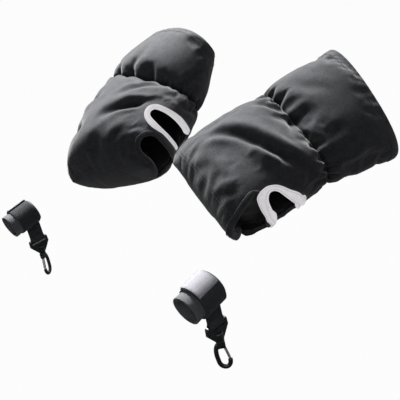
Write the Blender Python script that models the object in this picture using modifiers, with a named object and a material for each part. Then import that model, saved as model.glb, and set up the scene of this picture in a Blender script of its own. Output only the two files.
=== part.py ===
# Two padded hand muffs and two strap hooks, held on a push bar.
# Metres. +X runs along the bar to the left hand's side, -Y points ahead and +Z up.
# The origin lies on the bar's axis, midway between the muffs.
# Every muff shape is worked out on the left side and mirrored for the right one.

import math

import bpy
import numpy as np

# Fits and clearances
GAP = 0.0003
LAYER_GAP = 0.00035
BAND_GAP = 0.0008
MERGE = 0.00001
SHARE_NUDGE = 0.004
TURN_NUDGE = 0.05
FIND_STEPS = 12
FIND_ROUNDS = 9
FIND_SHRINK_SHARE = 0.35
FIND_START_SHARE = 0.5
FIND_START_TURNS = 6.5
HALVINGS = 40

# Bar that the set fits
BAR_RADIUS = 0.018
BAR_HOLE = 0.0195
BAR_X = (0.0, 0.039, 0.100, 0.160, 0.200, 0.222, 0.230, 0.230, 0.232)
BAR_Y = (0.0, 0.0, 0.0, -0.002, -0.020, -0.056, -0.110, -0.165, -0.194)
BAR_Z = (0.0, 0.0, 0.0, -0.004, -0.022, -0.052, -0.078, -0.093, -0.098)
HOLE_SIDES = 16

# How each muff lies on the bar: centre, turns and rolls in degrees, lengths in metres
LEFT = {
    "side": 1,
    "centre": (0.138, -0.017, -0.024),
    "hand_turn": 13.9, "hand_rise": 9.8, "cuff_turn": 16.0, "cuff_rise": 4.9,
    "rolls": (18.6, 30.2, 48.0), "skews": (7.4, 5.2, 2.6),
    "hand_length": 0.134, "cuff_length": 0.130, "front": 0.039,
    "half_widths": (0.098, 0.0945, 0.0995),
    "hand_up": 0.049, "hand_down": 0.055, "cuff_up": 0.045, "cuff_down": 0.045,
}
RIGHT = {
    "side": -1,
    "centre": (0.121, -0.012, -0.028),
    "hand_turn": 14.6, "hand_rise": 26.0, "cuff_turn": 10.0, "cuff_rise": 23.7,
    "rolls": (7.8, -15.8, 13.9), "skews": (8.1, -2.3, -16.0),
    "hand_length": 0.146, "cuff_length": 0.135, "front": 0.038,
    "half_widths": (0.098, 0.0975, 0.0865),
    "hand_up": 0.068, "hand_down": 0.068, "cuff_up": 0.059, "cuff_down": 0.043,
}

# Muff sections: share of the length, of the half width, of the height, of the pleat depth
HAND_SHARES = (
    (0.00, 0.90, 0.06, 0.0), (0.03, 0.94, 0.42, 0.0), (0.10, 0.98, 0.75, 0.0),
    (0.25, 1.00, 0.97, 0.0), (0.45, 1.00, 1.00, 0.0), (0.68, 0.99, 0.95, 0.0),
    (0.86, 0.97, 0.84, 0.2), (0.95, 0.96, 0.76, 0.7), (1.00, 0.92, 0.60, 1.0),
)
CUFF_SHARES = (
    (0.00, 0.92, 0.60, 1.0), (0.06, 0.96, 0.80, 0.8), (0.20, 0.99, 0.95, 0.3),
    (0.45, 1.00, 1.00, 0.0), (0.74, 1.00, 0.95, 0.0), (1.00, 1.00, 0.86, 0.0),
)
AROUND = 24
PLEATS = 6
PLEAT_DEPTH = 0.0035
FULL_SHARE = 0.66
ROUNDNESS = 2.4

# Layers of the wall, as depths from the outer face
SHELL_DEPTH = 0.0010
WADDING_TOP = SHELL_DEPTH + LAYER_GAP
WADDING_DEPTH = 0.0069
LINING_TOP = WADDING_DEPTH + LAYER_GAP
WALL_DEPTH = LINING_TOP + 0.0010
SEAM_SHARE = 0.0015
TURN_IN_SEAM_SHARE = 4 * SEAM_SHARE
WADDING_END_SHARE = 0.95
WADDING_START_SHARE = 0.06
TURN_IN_SHARE = 0.86
LINING_END_SHARE = TURN_IN_SHARE - 2 * SEAM_SHARE
CUFF_WADDING_END_SHARE = 0.97
EDGE_SEAM = 0.003

# Gather elastic inside the wrist seam
ELASTIC_TOP = WADDING_TOP + GAP
ELASTIC_DEPTH = ELASTIC_TOP + 0.0014
ELASTIC_HAND_SHARE = 0.965
ELASTIC_CUFF_SHARE = 0.035

# Closing flap under the hand part
FLAP_FRONT = -0.022
FLAP_REAR_SHARE = 0.66
FLAP_TOP_SHARE = 0.62
FLAP_GAP = 0.0004
BOX_REACH = 0.20
HINGE_TILTS = range(-30, 31)
HINGE_DROP = 0.0010
HINGE_TURNS = (14, 15, 16, 17, 18, 19, 20, 21, 22)

# Bays that let the bar out downwards once the flap is open
BAY_START = 0.062
BAY_DROP = 0.090
BAY_POINTS = 5

# Side slots behind the bar, measured from the bar's axis in the side wall
SLOT_AHEAD = (0.033, 0.032, 0.033, 0.037, 0.044, 0.054, 0.064, 0.072, 0.078, 0.081)
SLOT_UP = (-0.024, -0.008, 0.006, 0.014, 0.018, 0.018, 0.013, 0.002, -0.012, -0.026)
SLOT_BOTTOM_CLEAR = 0.0015
SLOT_OVERCUT = 0.004
SLOT_STEP = 0.0070
CUT_OUT = 0.012
CUT_IN = 0.020
BAND_WIDTH = 0.0095
BAND_INSIDE = 0.005
BAND_THICK = 0.0009

# Hook-and-loop closing tapes
TAPE_TURNS = (16, 17, 18, 19, 19.6)
LOOP_THICK = 0.0010
HOOK_THICK = 0.0012
TAPE_ON_FLAP = 0.014
TAPE_ON_PANEL = 0.022
TAPE_STEP = 0.0015

# Strap hook: sleeve, strap, patch and webbing
LEG_POINT = (0.230, -0.163, -0.093)
LEG_DIP = 11.0
PAD_INNER = BAR_RADIUS + GAP
PAD_OUTER = PAD_INNER + 0.0020
PAD_LENGTH = 0.052
PAD_AHEAD = 0.031
PAD_SLIT = 4.0
UNDERSIDE = -90.0
FULL_TURN = 360.0
STRAP_THICK = 0.0016
STRAP_INNER = PAD_OUTER + GAP
STRAP_TAIL = STRAP_INNER + STRAP_THICK + GAP
STRAP_WIDTH = 0.036
TAIL_RAMP = 24.0
PATCH_INNER = STRAP_TAIL + STRAP_THICK + GAP
PATCH_THICK = 0.0008
PATCH_WIDTH = 0.033
PATCH_SPAN = 86.0
LEFT_TAIL_END = 124.0
RIGHT_TAIL_END = 82.0
ARC_STEP = 13.0
WEB_WIDTH = 0.026
WEB_THICK = 0.0014
WEB_SHIFT = 0.010
EYE_SIDES = 12
EYE_START = 135.0
EYE_SPAN = 270.0
EYE_MEET_SHARE = 3.2

# Swivel base
BASE_DROP = 0.052
BAR_PIN_RADIUS = 0.0023
BAR_PIN_SEAT = 0.0015
BASE_TOP_HALF = 0.0175
BASE_SHOULDER_HALF = 0.0180
BASE_FOOT_HALF = 0.0070
BASE_TOP = 0.0029
BASE_SHOULDER = -0.0090
BASE_FOOT = -0.0240
BASE_HALF_THICK = 0.0030
BASE_BEVEL = 0.0008
BASE_ROUND_SHARE = 0.7
ROD_SIDES = 12
WEB_SLOT_HALF = WEB_WIDTH / 2 + 0.0008
WEB_SLOT_FOOT = -0.0064
BOSS_RADIUS = 0.0066
BOSS_TOP = -0.0130
BOSS_FOOT = -0.0250
CHAMBER_RADIUS = 0.0047
CHAMBER_TOP = -0.0150
CHAMBER_FOOT = -0.0198
BORE_RADIUS = 0.0032

# Snap hook
SWIVEL_CLEAR = 0.0004
HEAD_RADIUS = CHAMBER_RADIUS - SWIVEL_CLEAR
HEAD_TOP = CHAMBER_TOP - SWIVEL_CLEAR
HEAD_FOOT = CHAMBER_FOOT + SWIVEL_CLEAR
STEM_RADIUS = BORE_RADIUS - GAP
COLLAR_RADIUS = 0.0056
COLLAR_TOP = BOSS_FOOT - SWIVEL_CLEAR
COLLAR_THICK = 0.0026
COLLAR_FOOT = COLLAR_TOP - COLLAR_THICK
SNAP_U = (0.0, -0.0036, -0.0070, -0.0078, -0.0066, -0.0026, 0.0026, 0.0068, 0.0083, 0.0081)
SNAP_Z = (-0.0290, -0.0315, -0.0375, -0.0495, -0.0600, -0.0674, -0.0696, -0.0665, -0.0612, -0.0565)
SNAP_HALF_IN = 0.0031
SNAP_HALF_OUT = 0.0028
SNAP_SIDES = 10
BLOCK_U = (-0.0050, 0.0062)
BLOCK_Z = (-0.0374, -0.0272)
BLOCK_HALF = 0.0037
FORK_U = (-0.0008, 0.0080)
FORK_Z = (-0.0390, -0.0298)
FORK_HALF = 0.0023
PIVOT_U = 0.0036
PIVOT_Z = -0.0336
PIN_RADIUS = 0.0009
PIN_HOLE = 0.0012
PIN_HALF = 0.0036
PIN_SIDES = 10
GATE_HALF_IN = 0.0016
GATE_HALF_OUT = 0.0020
GATE_END_U = 0.0081
GATE_END_Z = -0.0557
GATE_TOP_SIDES = 6
LEAF_U = (-0.0003, -0.0001, 0.0008, 0.0020)
LEAF_Z = (-0.0306, -0.0330, -0.0352, -0.0372)
LEAF_THICK = 0.00035
LEAF_HALF = 0.0013
LEFT_SWIVEL = 52.0
RIGHT_SWIVEL = -60.0
ROUND_SIDES = 16

COLOURS = {
    "softshell": (0.060, 0.061, 0.068), "wadding": (0.78, 0.78, 0.76),
    "fleece": (0.012, 0.012, 0.014), "reflective": (0.66, 0.66, 0.67),
    "elastic": (0.05, 0.05, 0.05), "tape": (0.02, 0.02, 0.022),
    "pad": (0.055, 0.060, 0.068), "strap": (0.035, 0.040, 0.042),
    "patch": (0.48, 0.48, 0.52), "web": (0.030, 0.034, 0.036),
    "plastic": (0.022, 0.025, 0.027), "steel": (0.62, 0.62, 0.64),
}


# Scene and mesh helpers
for old in list(bpy.data.objects):
    bpy.data.objects.remove(old, do_unlink=True)

parts = bpy.data.collections.new("hand_muff_set")
cutters = bpy.data.collections.new("cutters")
bpy.context.scene.collection.children.link(parts)
bpy.context.scene.collection.children.link(cutters)


def material(name):
    """One plain Principled material for a piece."""
    made = bpy.data.materials.new(name)
    made.use_nodes = True
    shader = made.node_tree.nodes["Principled BSDF"]
    shader.inputs["Base Color"].default_value = (*COLOURS[name.split("__")[1]], 1.0)
    metal = name.split("__")[1] == "steel"
    shader.inputs["Metallic"].default_value = 1.0 if metal else 0.0
    shader.inputs["Roughness"].default_value = 0.3 if metal else 0.8
    return made


def new_object(name, verts, faces, look=None, side=1, origin=(0, 0, 0), smooth=True):
    """A mesh object from points in the left side's frame; side -1 mirrors it."""
    points = np.asarray(verts, float) * (side, 1, 1)
    start = np.asarray(origin, float) * (side, 1, 1)
    mesh = bpy.data.meshes.new(name)
    turned = [tuple(reversed(face)) if side < 0 else tuple(face) for face in faces]
    mesh.from_pydata([tuple(point) for point in points - start], [], turned)
    mesh.validate()
    thing = bpy.data.objects.new(name, mesh)
    thing.location = tuple(start)
    if look is None:
        cutters.objects.link(thing)
        thing.hide_render = True
        thing.display_type = "WIRE"
    else:
        parts.objects.link(thing)
        mesh.materials.append(material(name + "__" + look))
        for face in mesh.polygons:
            face.use_smooth = smooth
    return thing


def boolean(target, cutter, operation="DIFFERENCE"):
    """Cut, join or intersect with the exact solver."""
    step = target.modifiers.new(cutter.name, "BOOLEAN")
    step.solver = "EXACT"
    step.operation = operation
    step.object = cutter
    return target


def loop_faces(rows, columns, closed_rows=False, closed_columns=True, first=0):
    """Quads over a grid of points, row by row."""
    faces = []
    for row in range(rows if closed_rows else rows - 1):
        for column in range(columns if closed_columns else columns - 1):
            below = (row + 1) % rows
            beside = (column + 1) % columns
            faces.append((first + row * columns + column, first + row * columns + beside,
                          first + below * columns + beside, first + below * columns + column))
    return faces


def outward(verts, faces):
    """The faces, turned over if the closed body they make is inside out."""
    volume = 0.0
    points = np.asarray(verts, float)
    for face in faces:
        for second, third in zip(face[1:-1], face[2:]):
            volume += np.dot(points[face[0]], np.cross(points[second], points[third]))
    return faces if volume > 0 else [tuple(reversed(face)) for face in faces]


def sweep(frames, section, closed=False):
    """A section (pairs) carried along frames (origin, first axis, second axis)."""
    verts = []
    for origin, first, second in frames:
        for across, up in section:
            verts.append(np.asarray(origin) + across * np.asarray(first) + up * np.asarray(second))
    count = len(section)
    faces = loop_faces(len(frames), count, closed_rows=closed)
    if not closed:
        faces.append(tuple(reversed(range(count))))
        faces.append(tuple(range(len(verts) - count, len(verts))))
    return verts, outward(verts, faces)


def slab(top, bottom):
    """A closed body between two equal grids of points."""
    rows, columns = len(top), len(top[0])
    verts = [point for row in top for point in row] + [point for row in bottom for point in row]
    half = rows * columns
    faces = loop_faces(rows, columns, closed_columns=False)
    faces += [tuple(reversed(face)) for face in loop_faces(rows, columns, False, False, half)]
    rim = [(0, column) for column in range(columns)]
    rim += [(row, columns - 1) for row in range(1, rows)]
    rim += [(rows - 1, column) for column in range(columns - 2, -1, -1)]
    rim += [(row, 0) for row in range(rows - 2, 0, -1)]
    for here, there in zip(rim, rim[1:] + rim[:1]):
        first = here[0] * columns + here[1]
        second = there[0] * columns + there[1]
        faces.append((second, first, first + half, second + half))
    return verts, outward(verts, faces)


def box(axes, origin, low, high):
    """A box between two corners, given in a frame of three axes."""
    verts = []
    for ahead in (low[0], high[0]):
        for across in (low[1], high[1]):
            for up in (low[2], high[2]):
                verts.append(np.asarray(origin) + ahead * axes[0] + across * axes[1] + up * axes[2])
    faces = [(0, 1, 3, 2), (4, 6, 7, 5), (0, 4, 5, 1), (2, 3, 7, 6), (0, 2, 6, 4), (1, 5, 7, 3)]
    return verts, outward(verts, faces)


def unit(vector):
    return np.asarray(vector, float) / np.linalg.norm(vector)


# Muff surface
def heading(turn, rise):
    turn, rise = math.radians(turn), math.radians(rise)
    level = math.cos(rise)
    return np.array((math.sin(turn) * level, math.cos(turn) * level, math.sin(rise)))


def section_axes(along, roll, skew):
    """Width and height directions of a section, rolled outward and skewed."""
    level = unit(np.cross(along, (0, 0, 1)))
    upright = np.cross(level, along)
    roll, skew = math.radians(roll), math.radians(skew)
    width = level * math.cos(roll) - upright * math.sin(roll)
    height = upright * math.cos(roll) + level * math.sin(roll)
    return width * math.cos(skew) - along * math.sin(skew), height


class Muff:
    """The layered, padded surface of one muff."""

    def __init__(self, pose):
        self.pose = pose
        self.side = pose["side"]
        self.hand = heading(pose["hand_turn"], pose["hand_rise"])
        self.cuff = heading(pose["cuff_turn"], pose["cuff_rise"])
        self.centre = np.array(pose["centre"])
        self.wrist = self.centre + self.hand * pose["hand_length"]
        along = (self.hand, unit(self.hand + self.cuff), self.cuff)
        self.axes = [section_axes(*item) for item in zip(along, pose["rolls"], pose["skews"])]
        self.level = section_axes(self.hand, pose["rolls"][0], 0.0)
        self.cache = {}

    def ring(self, part, index, depth):
        """Points around one tabled section at a depth inside the outer face."""
        key = (part, index, round(depth / MERGE))
        if key in self.cache:
            return self.cache[key]
        if part == "cuff" and index == 0:
            part, index = "hand", len(HAND_SHARES) - 1
        table = HAND_SHARES if part == "hand" else CUFF_SHARES
        share, width_share, height_share, pleat_share = table[index]
        pose = self.pose
        if part == "hand":
            start = depth - pose["front"]
            ahead = start + share * (pose["hand_length"] - start)
            mix = min(max(ahead, 0.0) / pose["hand_length"], 1.0)
            origin = self.centre + self.hand * ahead
            first, second, up, down = 0, 1, pose["hand_up"], pose["hand_down"]
        else:
            mix = share
            origin = self.wrist + self.cuff * (share * pose["cuff_length"])
            first, second, up, down = 1, 2, pose["cuff_up"], pose["cuff_down"]
        width_axis = unit(self.axes[first][0] * (1 - mix) + self.axes[second][0] * mix)
        height_axis = self.axes[first][1] * (1 - mix) + self.axes[second][1] * mix
        height_axis = unit(height_axis - width_axis * np.dot(width_axis, height_axis))
        half = pose["half_widths"][first] * (1 - mix) + pose["half_widths"][second] * mix
        inset = depth * min(1.0, height_share / FULL_SHARE)
        points = []
        for step in range(AROUND):
            angle = 2 * math.pi * step / AROUND
            fold = 0.5 - 0.5 * math.cos(2 * math.pi * step * PLEATS / AROUND)
            tuck = inset + fold * PLEAT_DEPTH * pleat_share
            across = math.copysign(abs(math.cos(angle)) ** (2 / ROUNDNESS), math.cos(angle))
            rise = math.copysign(abs(math.sin(angle)) ** (2 / ROUNDNESS), math.sin(angle))
            height = (up if rise > 0 else down) * height_share - tuck
            across = across * (half * width_share - inset)
            points.append(origin + width_axis * across + height_axis * rise * height)
        self.cache[key] = np.array(points)
        return self.cache[key]

    def section(self, part, share, depth):
        """Points around the facets at any share of a part's length."""
        table = HAND_SHARES if part == "hand" else CUFF_SHARES
        index = max(i for i, row in enumerate(table[:-1]) if row[0] <= share + MERGE)
        low, high = table[index][0], table[index + 1][0]
        mix = (share - low) / (high - low)
        return self.ring(part, index, depth) * (1 - mix) + self.ring(part, index + 1, depth) * mix

    def point(self, share, turn, depth, part="hand"):
        """A point on the facets; turn counts steps around, 0 at the outer side."""
        ring = self.section(part, share, depth)
        step = math.floor(turn)
        mix = turn - step
        return ring[step % AROUND] * (1 - mix) + ring[(step + 1) % AROUND] * mix

    def level_place(self, point):
        """A point's place ahead and up, measured from the centre in the hand's frame."""
        offset = point - self.centre
        return np.dot(offset, self.hand), np.dot(offset, self.level[1])

    def find(self, ahead, up, middle_turn):
        """Share and turn of the side-wall point at a place ahead and up."""
        share, turn = FIND_START_SHARE, middle_turn
        share_step, turn_step = FIND_START_SHARE / FIND_STEPS, FIND_START_TURNS / FIND_STEPS
        for _ in range(FIND_ROUNDS):
            best = None
            for i in range(-FIND_STEPS, FIND_STEPS + 1):
                trial_share = min(max(share + i * share_step, 0.0), 1.0)
                for j in range(-FIND_STEPS, FIND_STEPS + 1):
                    trial_turn = turn + j * turn_step
                    place = self.level_place(self.point(trial_share, trial_turn, 0.0))
                    miss = (place[0] - ahead) ** 2 + (place[1] - up) ** 2
                    if best is None or miss < best[0]:
                        best = (miss, trial_share, trial_turn)
            _, share, turn = best
            share_step *= FIND_SHRINK_SHARE
            turn_step *= FIND_SHRINK_SHARE
        return share, turn

    def share_at(self, turn, ahead):
        """Share of the hand's length where one line of facets is so far ahead."""
        low, high = 0.0, 1.0
        for _ in range(HALVINGS):
            middle = (low + high) / 2
            if self.level_place(self.point(middle, turn, 0.0))[0] < ahead:
                low = middle
            else:
                high = middle
        return low


def skin_faces(places, closed):
    """Triangles over rings; each diagonal leans the same way, so nested layers stay apart."""
    faces = []
    rows = len(places)
    for row in range(rows if closed else rows - 1):
        below = (row + 1) % rows
        for column in range(AROUND):
            beside = (column + 1) % AROUND
            here, right = row * AROUND + column, row * AROUND + beside
            under, corner = below * AROUND + column, below * AROUND + beside
            if places[below] > places[row]:
                faces += [(here, right, corner), (here, corner, under)]
            else:
                faces += [(here, right, under), (right, corner, under)]
    return faces


def hand_layer(muff, outer, inner, end_share):
    """A pouch-shaped wall, closed at the front and open at the wrist."""
    shares = [row[0] for row in HAND_SHARES if row[0] < end_share - MERGE] + [end_share]
    rings = [muff.section("hand", share, outer) for share in shares]
    rings += [muff.section("hand", share, inner) for share in reversed(shares)]
    verts = [point for ring in rings for point in ring]
    faces = skin_faces(shares + shares[::-1], closed=False)
    for first in (0, (len(rings) - 1) * AROUND):
        cap = []
        for step in range(AROUND // 2):
            corners = (first + step, first + step + 1,
                       first + (AROUND - step - 1) % AROUND, first + (AROUND - step) % AROUND)
            kept = [corner for i, corner in enumerate(corners) if corner not in corners[:i]]
            cap.append(tuple(kept))
        faces += [tuple(reversed(face)) for face in cap] if first == 0 else cap
    return verts, outward(verts, faces)


def ring_layer(muff, profile):
    """A ring round the muff; the profile lists (part, share, depth) in order."""
    rings = [muff.section(*item) for item in profile]
    verts = [point for ring in rings for point in ring]
    places = [share + (part == "cuff") for part, share, _ in profile]
    return verts, outward(verts, skin_faces(places, closed=True))


def cuff_profile(start, end, outer, inner):
    """Profile of a plain cuff layer with rings at every tabled section between."""
    middle = [row[0] for row in CUFF_SHARES if start + SEAM_SHARE < row[0] < end - SEAM_SHARE]
    shares = [start] + middle + [end]
    there = [("cuff", share, outer) for share in shares]
    return there + [("cuff", share, inner) for share in reversed(shares)]


# Openings in the muff
def bar_points():
    return [np.array(point) for point in zip(BAR_X, BAR_Y, BAR_Z)]


def bar_frames(points, up_axis):
    """Frames across a line of points, the second axis kept near a given direction."""
    frames = []
    for index, point in enumerate(points):
        before = points[max(index - 1, 0)]
        after = points[min(index + 1, len(points) - 1)]
        along = unit(after - before)
        up = unit(up_axis - along * np.dot(along, up_axis))
        frames.append((point, np.cross(up, along), up))
    return frames


def circle(radius, sides=HOLE_SIDES):
    turns = [2 * math.pi * (i + 0.5) / sides for i in range(sides)]
    return [(radius * math.cos(turn), radius * math.sin(turn)) for turn in turns]


def bar_crossing(muff, outer_side):
    """Where the bar's axis passes a side wall, ahead and up from the centre."""
    points = bar_points()
    width = muff.axes[0][0]
    level = unit(width - muff.hand * np.dot(width, muff.hand))
    reach = muff.pose["half_widths"][0] - WALL_DEPTH
    goal = reach if outer_side else -reach
    for first, second in zip(points[:-1], points[1:]):
        low = np.dot(first - muff.centre, level)
        high = np.dot(second - muff.centre, level)
        if low <= goal <= high:
            mix = (goal - low) / (high - low)
            return muff.level_place(first * (1 - mix) + second * mix)
    return muff.level_place(points[0])


def slot_path(muff, outer_side, flap_top):
    """The slot's edge as (share, turn) pairs, from its front foot to its rear foot."""
    ahead, up = bar_crossing(muff, outer_side)
    middle_turn = 0.0 if outer_side else AROUND / 2
    foot = flap_top + SLOT_BOTTOM_CLEAR
    places = [(ahead + x, up + z) for x, z in zip(SLOT_AHEAD, SLOT_UP)]
    kept = [place for place in places if place[1] > foot + SLOT_OVERCUT]
    kept = [(kept[0][0], foot)] + kept + [(kept[-1][0] + SLOT_OVERCUT / 2, foot)]
    places = kept[:1]
    for before, after in zip(kept[:-1], kept[1:]):
        pieces = math.ceil(math.dist(before, after) / SLOT_STEP)
        for i in range(1, pieces + 1):
            mix = i / pieces
            places.append((before[0] * (1 - mix) + after[0] * mix,
                           before[1] * (1 - mix) + after[1] * mix))
    return [muff.find(x, z, middle_turn) for x, z in places], places


def slot_cutter(muff, name, path, places, outer_side, flap_top):
    """A prism through the side wall, following the slot's edge."""
    middle_turn = 0.0 if outer_side else AROUND / 2
    foot = flap_top - SLOT_OVERCUT
    low = [muff.find(places[-1][0], foot, middle_turn), muff.find(places[0][0], foot, middle_turn)]
    outline = path + low
    centre = (np.mean([item[0] for item in outline]), np.mean([item[1] for item in outline]))
    verts = []
    for depth in (-CUT_OUT, CUT_IN):
        verts += [muff.point(share, turn, depth) for share, turn in outline]
        verts.append(muff.point(centre[0], centre[1], depth))
    count = len(outline)
    faces = []
    for i in range(count):
        j = (i + 1) % count
        faces.append((i, j, count))
        faces.append((j + count + 1, i + count + 1, 2 * count + 1))
        faces.append((j, i, i + count + 1, j + count + 1))
    return new_object(name, verts, outward(verts, faces), side=muff.side)


def band_frames(muff, path):
    """For each edge point, the step in (share, turn) that leads one metre away from the hole."""
    middle = np.mean([muff.point(share, turn, 0.0) for share, turn in path], axis=0)
    steps = []
    for index, (share, turn) in enumerate(path):
        along_share = (muff.point(share + SHARE_NUDGE, turn, 0.0)
                       - muff.point(share - SHARE_NUDGE, turn, 0.0)) / (2 * SHARE_NUDGE)
        along_turn = (muff.point(share, turn + TURN_NUDGE, 0.0)
                      - muff.point(share, turn - TURN_NUDGE, 0.0)) / (2 * TURN_NUDGE)
        before = muff.point(*path[max(index - 1, 0)], 0.0)
        after = muff.point(*path[min(index + 1, len(path) - 1)], 0.0)
        normal = unit(np.cross(along_share, along_turn))
        away = unit(np.cross(normal, unit(after - before)))
        if np.dot(away, muff.point(share, turn, 0.0) - middle) < 0:
            away = -away
        basis = np.stack((along_share, along_turn), axis=1)
        steps.append(np.linalg.lstsq(basis, away, rcond=None)[0])
    return steps


def slot_band(muff, name, path):
    """The edge binding, a channel that wraps the wall all along the slot."""
    out, back = -BAND_GAP, -BAND_GAP - BAND_THICK
    deep = WALL_DEPTH + BAND_GAP + LAYER_GAP
    half = BAND_WIDTH / 2
    section = (
        (BAND_WIDTH, out), (BAND_WIDTH, back), (half, back), (back, back),
        (back, deep + BAND_THICK), (BAND_INSIDE, deep + BAND_THICK), (BAND_INSIDE, deep),
        (out, deep), (out, out), (half, out),
    )
    verts = []
    for (share, turn), step in zip(path, band_frames(muff, path)):
        for away, depth in section:
            verts.append(muff.point(share + step[0] * away, turn + step[1] * away, depth))
    faces = loop_faces(len(path), len(section))
    faces.append(tuple(reversed(range(len(section)))))
    faces.append(tuple(range(len(verts) - len(section), len(verts))))
    return new_object(name, verts, outward(verts, faces), "reflective", muff.side, smooth=False)


def tape(muff, name, rows, flap_rear):
    """A thin tape on the underside; rows list (ahead, inner depth, outer depth)."""
    top, bottom = [], []
    for ahead, inner, outer in rows:
        line = [(muff.share_at(turn, flap_rear + ahead), turn) for turn in TAPE_TURNS]
        bottom.append([muff.point(share, turn, inner) for share, turn in line])
        top.append([muff.point(share, turn, outer) for share, turn in line])
    verts, faces = slab(top, bottom)
    return new_object(name, verts, faces, "tape", muff.side, smooth=False)


def hinge_line(muff):
    """Height and slope of a line close under the flap's front edge, in the flap's front plane."""
    edge = []
    for turn in HINGE_TURNS:
        offset = muff.point(muff.share_at(turn, FLAP_FRONT), turn, 0.0) - muff.centre
        edge.append((np.dot(offset, muff.level[0]), np.dot(offset, muff.level[1])))
    best = None
    for tilt in HINGE_TILTS:
        slope = math.tan(math.radians(tilt))
        heights = [up - slope * across for across, up in edge]
        miss = np.mean(heights) - min(heights)
        if best is None or miss < best[0]:
            best = (miss, min(heights) - HINGE_DROP, slope)
    return best[1], best[2]


def build_muff(pose, prefix):
    """All the pieces of one muff."""
    muff = Muff(pose)
    side = muff.side
    frame = (muff.hand, muff.level[0], muff.level[1])
    flap_rear = pose["hand_length"] * FLAP_REAR_SHARE
    flap_top = -pose["hand_down"] * FLAP_TOP_SHARE

    hinge_up, hinge_slope = hinge_line(muff)
    hinge = muff.centre + muff.hand * FLAP_FRONT + muff.level[1] * hinge_up
    hinge_axis = unit(muff.level[0] + muff.level[1] * hinge_slope)
    hinge_drop = abs(hinge_slope) * pose["half_widths"][0] + flap_top - hinge_up
    flap_reach = flap_rear - FLAP_FRONT
    swing_room = math.hypot(flap_reach, hinge_drop) - flap_reach

    def flap_box(name, inset, room=0.0):
        low = (FLAP_FRONT + inset, -BOX_REACH, -BOX_REACH)
        high = (flap_rear - inset - room, BOX_REACH, flap_top - inset)
        return new_object(name, *box(frame, muff.centre, low, high), side=side)

    def bay(name, radius, outer_side):
        points = bar_points()
        places = [np.dot(point - muff.centre, muff.level[0]) for point in points]
        reach = BAY_START if outer_side else -BAY_START
        start = max(i for i, place in enumerate(places) if place < reach)
        mix = (reach - places[start]) / (places[start + 1] - places[start])
        end = points[start] * (1 - mix) + points[start + 1] * mix
        if outer_side:
            kept = [end] + points[start + 1:start + BAY_POINTS]
        else:
            kept = [points[start] - np.array((BAY_START, 0, 0)), points[start], end]
        verts = []
        arch = [pair for pair in circle(radius) if pair[1] > 0]
        for point, across, up in bar_frames(kept, muff.level[1]):
            verts += [point + across * x + up * z for x, z in arch]
            verts += [point + across * x - muff.level[1] * BAY_DROP for x in (-radius, radius)]
        count = len(arch) + 2
        faces = loop_faces(len(kept), count)
        faces.append(tuple(reversed(range(count))))
        faces.append(tuple(range(len(verts) - count, len(verts))))
        return new_object(name, verts, outward(verts, faces), side=side)

    bays = [bay(prefix + "_cut_bay_outer", BAR_HOLE, True), bay(prefix + "_cut_bay_inner", BAR_HOLE, False)]
    wide_bays = [bay(prefix + "_cut_bay_outer_wide", BAR_HOLE + EDGE_SEAM, True),
                 bay(prefix + "_cut_bay_inner_wide", BAR_HOLE + EDGE_SEAM, False)]
    opening = flap_box(prefix + "_cut_flap_opening", -FLAP_GAP / 2)
    keep = flap_box(prefix + "_cut_flap_keep", FLAP_GAP / 2, swing_room)
    wide_opening = flap_box(prefix + "_cut_flap_opening_wide", -EDGE_SEAM)
    narrow_keep = flap_box(prefix + "_cut_flap_keep_narrow", EDGE_SEAM)
    slots = []
    for outer_side, label in ((True, "outer"), (False, "inner")):
        path, places = slot_path(muff, outer_side, flap_top)
        slots.append(slot_cutter(muff, prefix + "_cut_slot_" + label, path, places, outer_side, flap_top))
        slot_band(muff, prefix + "_slot_binding_" + label, path)

    plain, wide = [opening, *bays, *slots], [wide_opening, *wide_bays, *slots]
    layers = (
        ("shell", 0.0, SHELL_DEPTH, 1.0 - SEAM_SHARE, "softshell", plain, keep),
        ("wadding", WADDING_TOP, WADDING_DEPTH, WADDING_END_SHARE, "wadding", wide, narrow_keep),
        ("lining", LINING_TOP, WALL_DEPTH, 1.0 - SEAM_SHARE, "fleece", plain, keep),
    )
    for label, outer, inner, end_share, look, cuts, keep_cut in layers:
        verts, faces = hand_layer(muff, outer, inner, end_share)
        hand = new_object(prefix + "_hand_" + label, verts, faces, look, side, muff.centre)
        for cutter in cuts:
            boolean(hand, cutter)
        flap = new_object(prefix + "_flap_" + label, verts, faces, look, side, hinge)
        boolean(flap, keep_cut, "INTERSECT")
        for cutter in slots:
            boolean(flap, cutter)

    end = 1.0
    shell_profile = cuff_profile(SEAM_SHARE, end, 0.0, SHELL_DEPTH)
    count = len(shell_profile) // 2
    turn_in = [("cuff", end, WALL_DEPTH), ("cuff", TURN_IN_SHARE, WALL_DEPTH),
               ("cuff", TURN_IN_SHARE, LINING_TOP), ("cuff", end - TURN_IN_SEAM_SHARE, LINING_TOP),
               ("cuff", end - TURN_IN_SEAM_SHARE, SHELL_DEPTH)]
    profiles = (
        ("shell", shell_profile[:count] + turn_in + shell_profile[count + 1:], "softshell"),
        ("wadding", cuff_profile(WADDING_START_SHARE, CUFF_WADDING_END_SHARE,
                                 WADDING_TOP, WADDING_DEPTH), "wadding"),
        ("lining", cuff_profile(SEAM_SHARE, LINING_END_SHARE, LINING_TOP, WALL_DEPTH), "fleece"),
    )
    for label, profile, look in profiles:
        new_object(prefix + "_cuff_" + label, *ring_layer(muff, profile), look, side, muff.wrist)

    elastic = [("hand", ELASTIC_HAND_SHARE, ELASTIC_TOP), ("hand", end, ELASTIC_TOP),
               ("cuff", ELASTIC_CUFF_SHARE, ELASTIC_TOP), ("cuff", ELASTIC_CUFF_SHARE, ELASTIC_DEPTH),
               ("hand", end, ELASTIC_DEPTH), ("hand", ELASTIC_HAND_SHARE, ELASTIC_DEPTH)]
    new_object(prefix + "_wrist_elastic", *ring_layer(muff, elastic), "elastic", side, muff.wrist)

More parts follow.
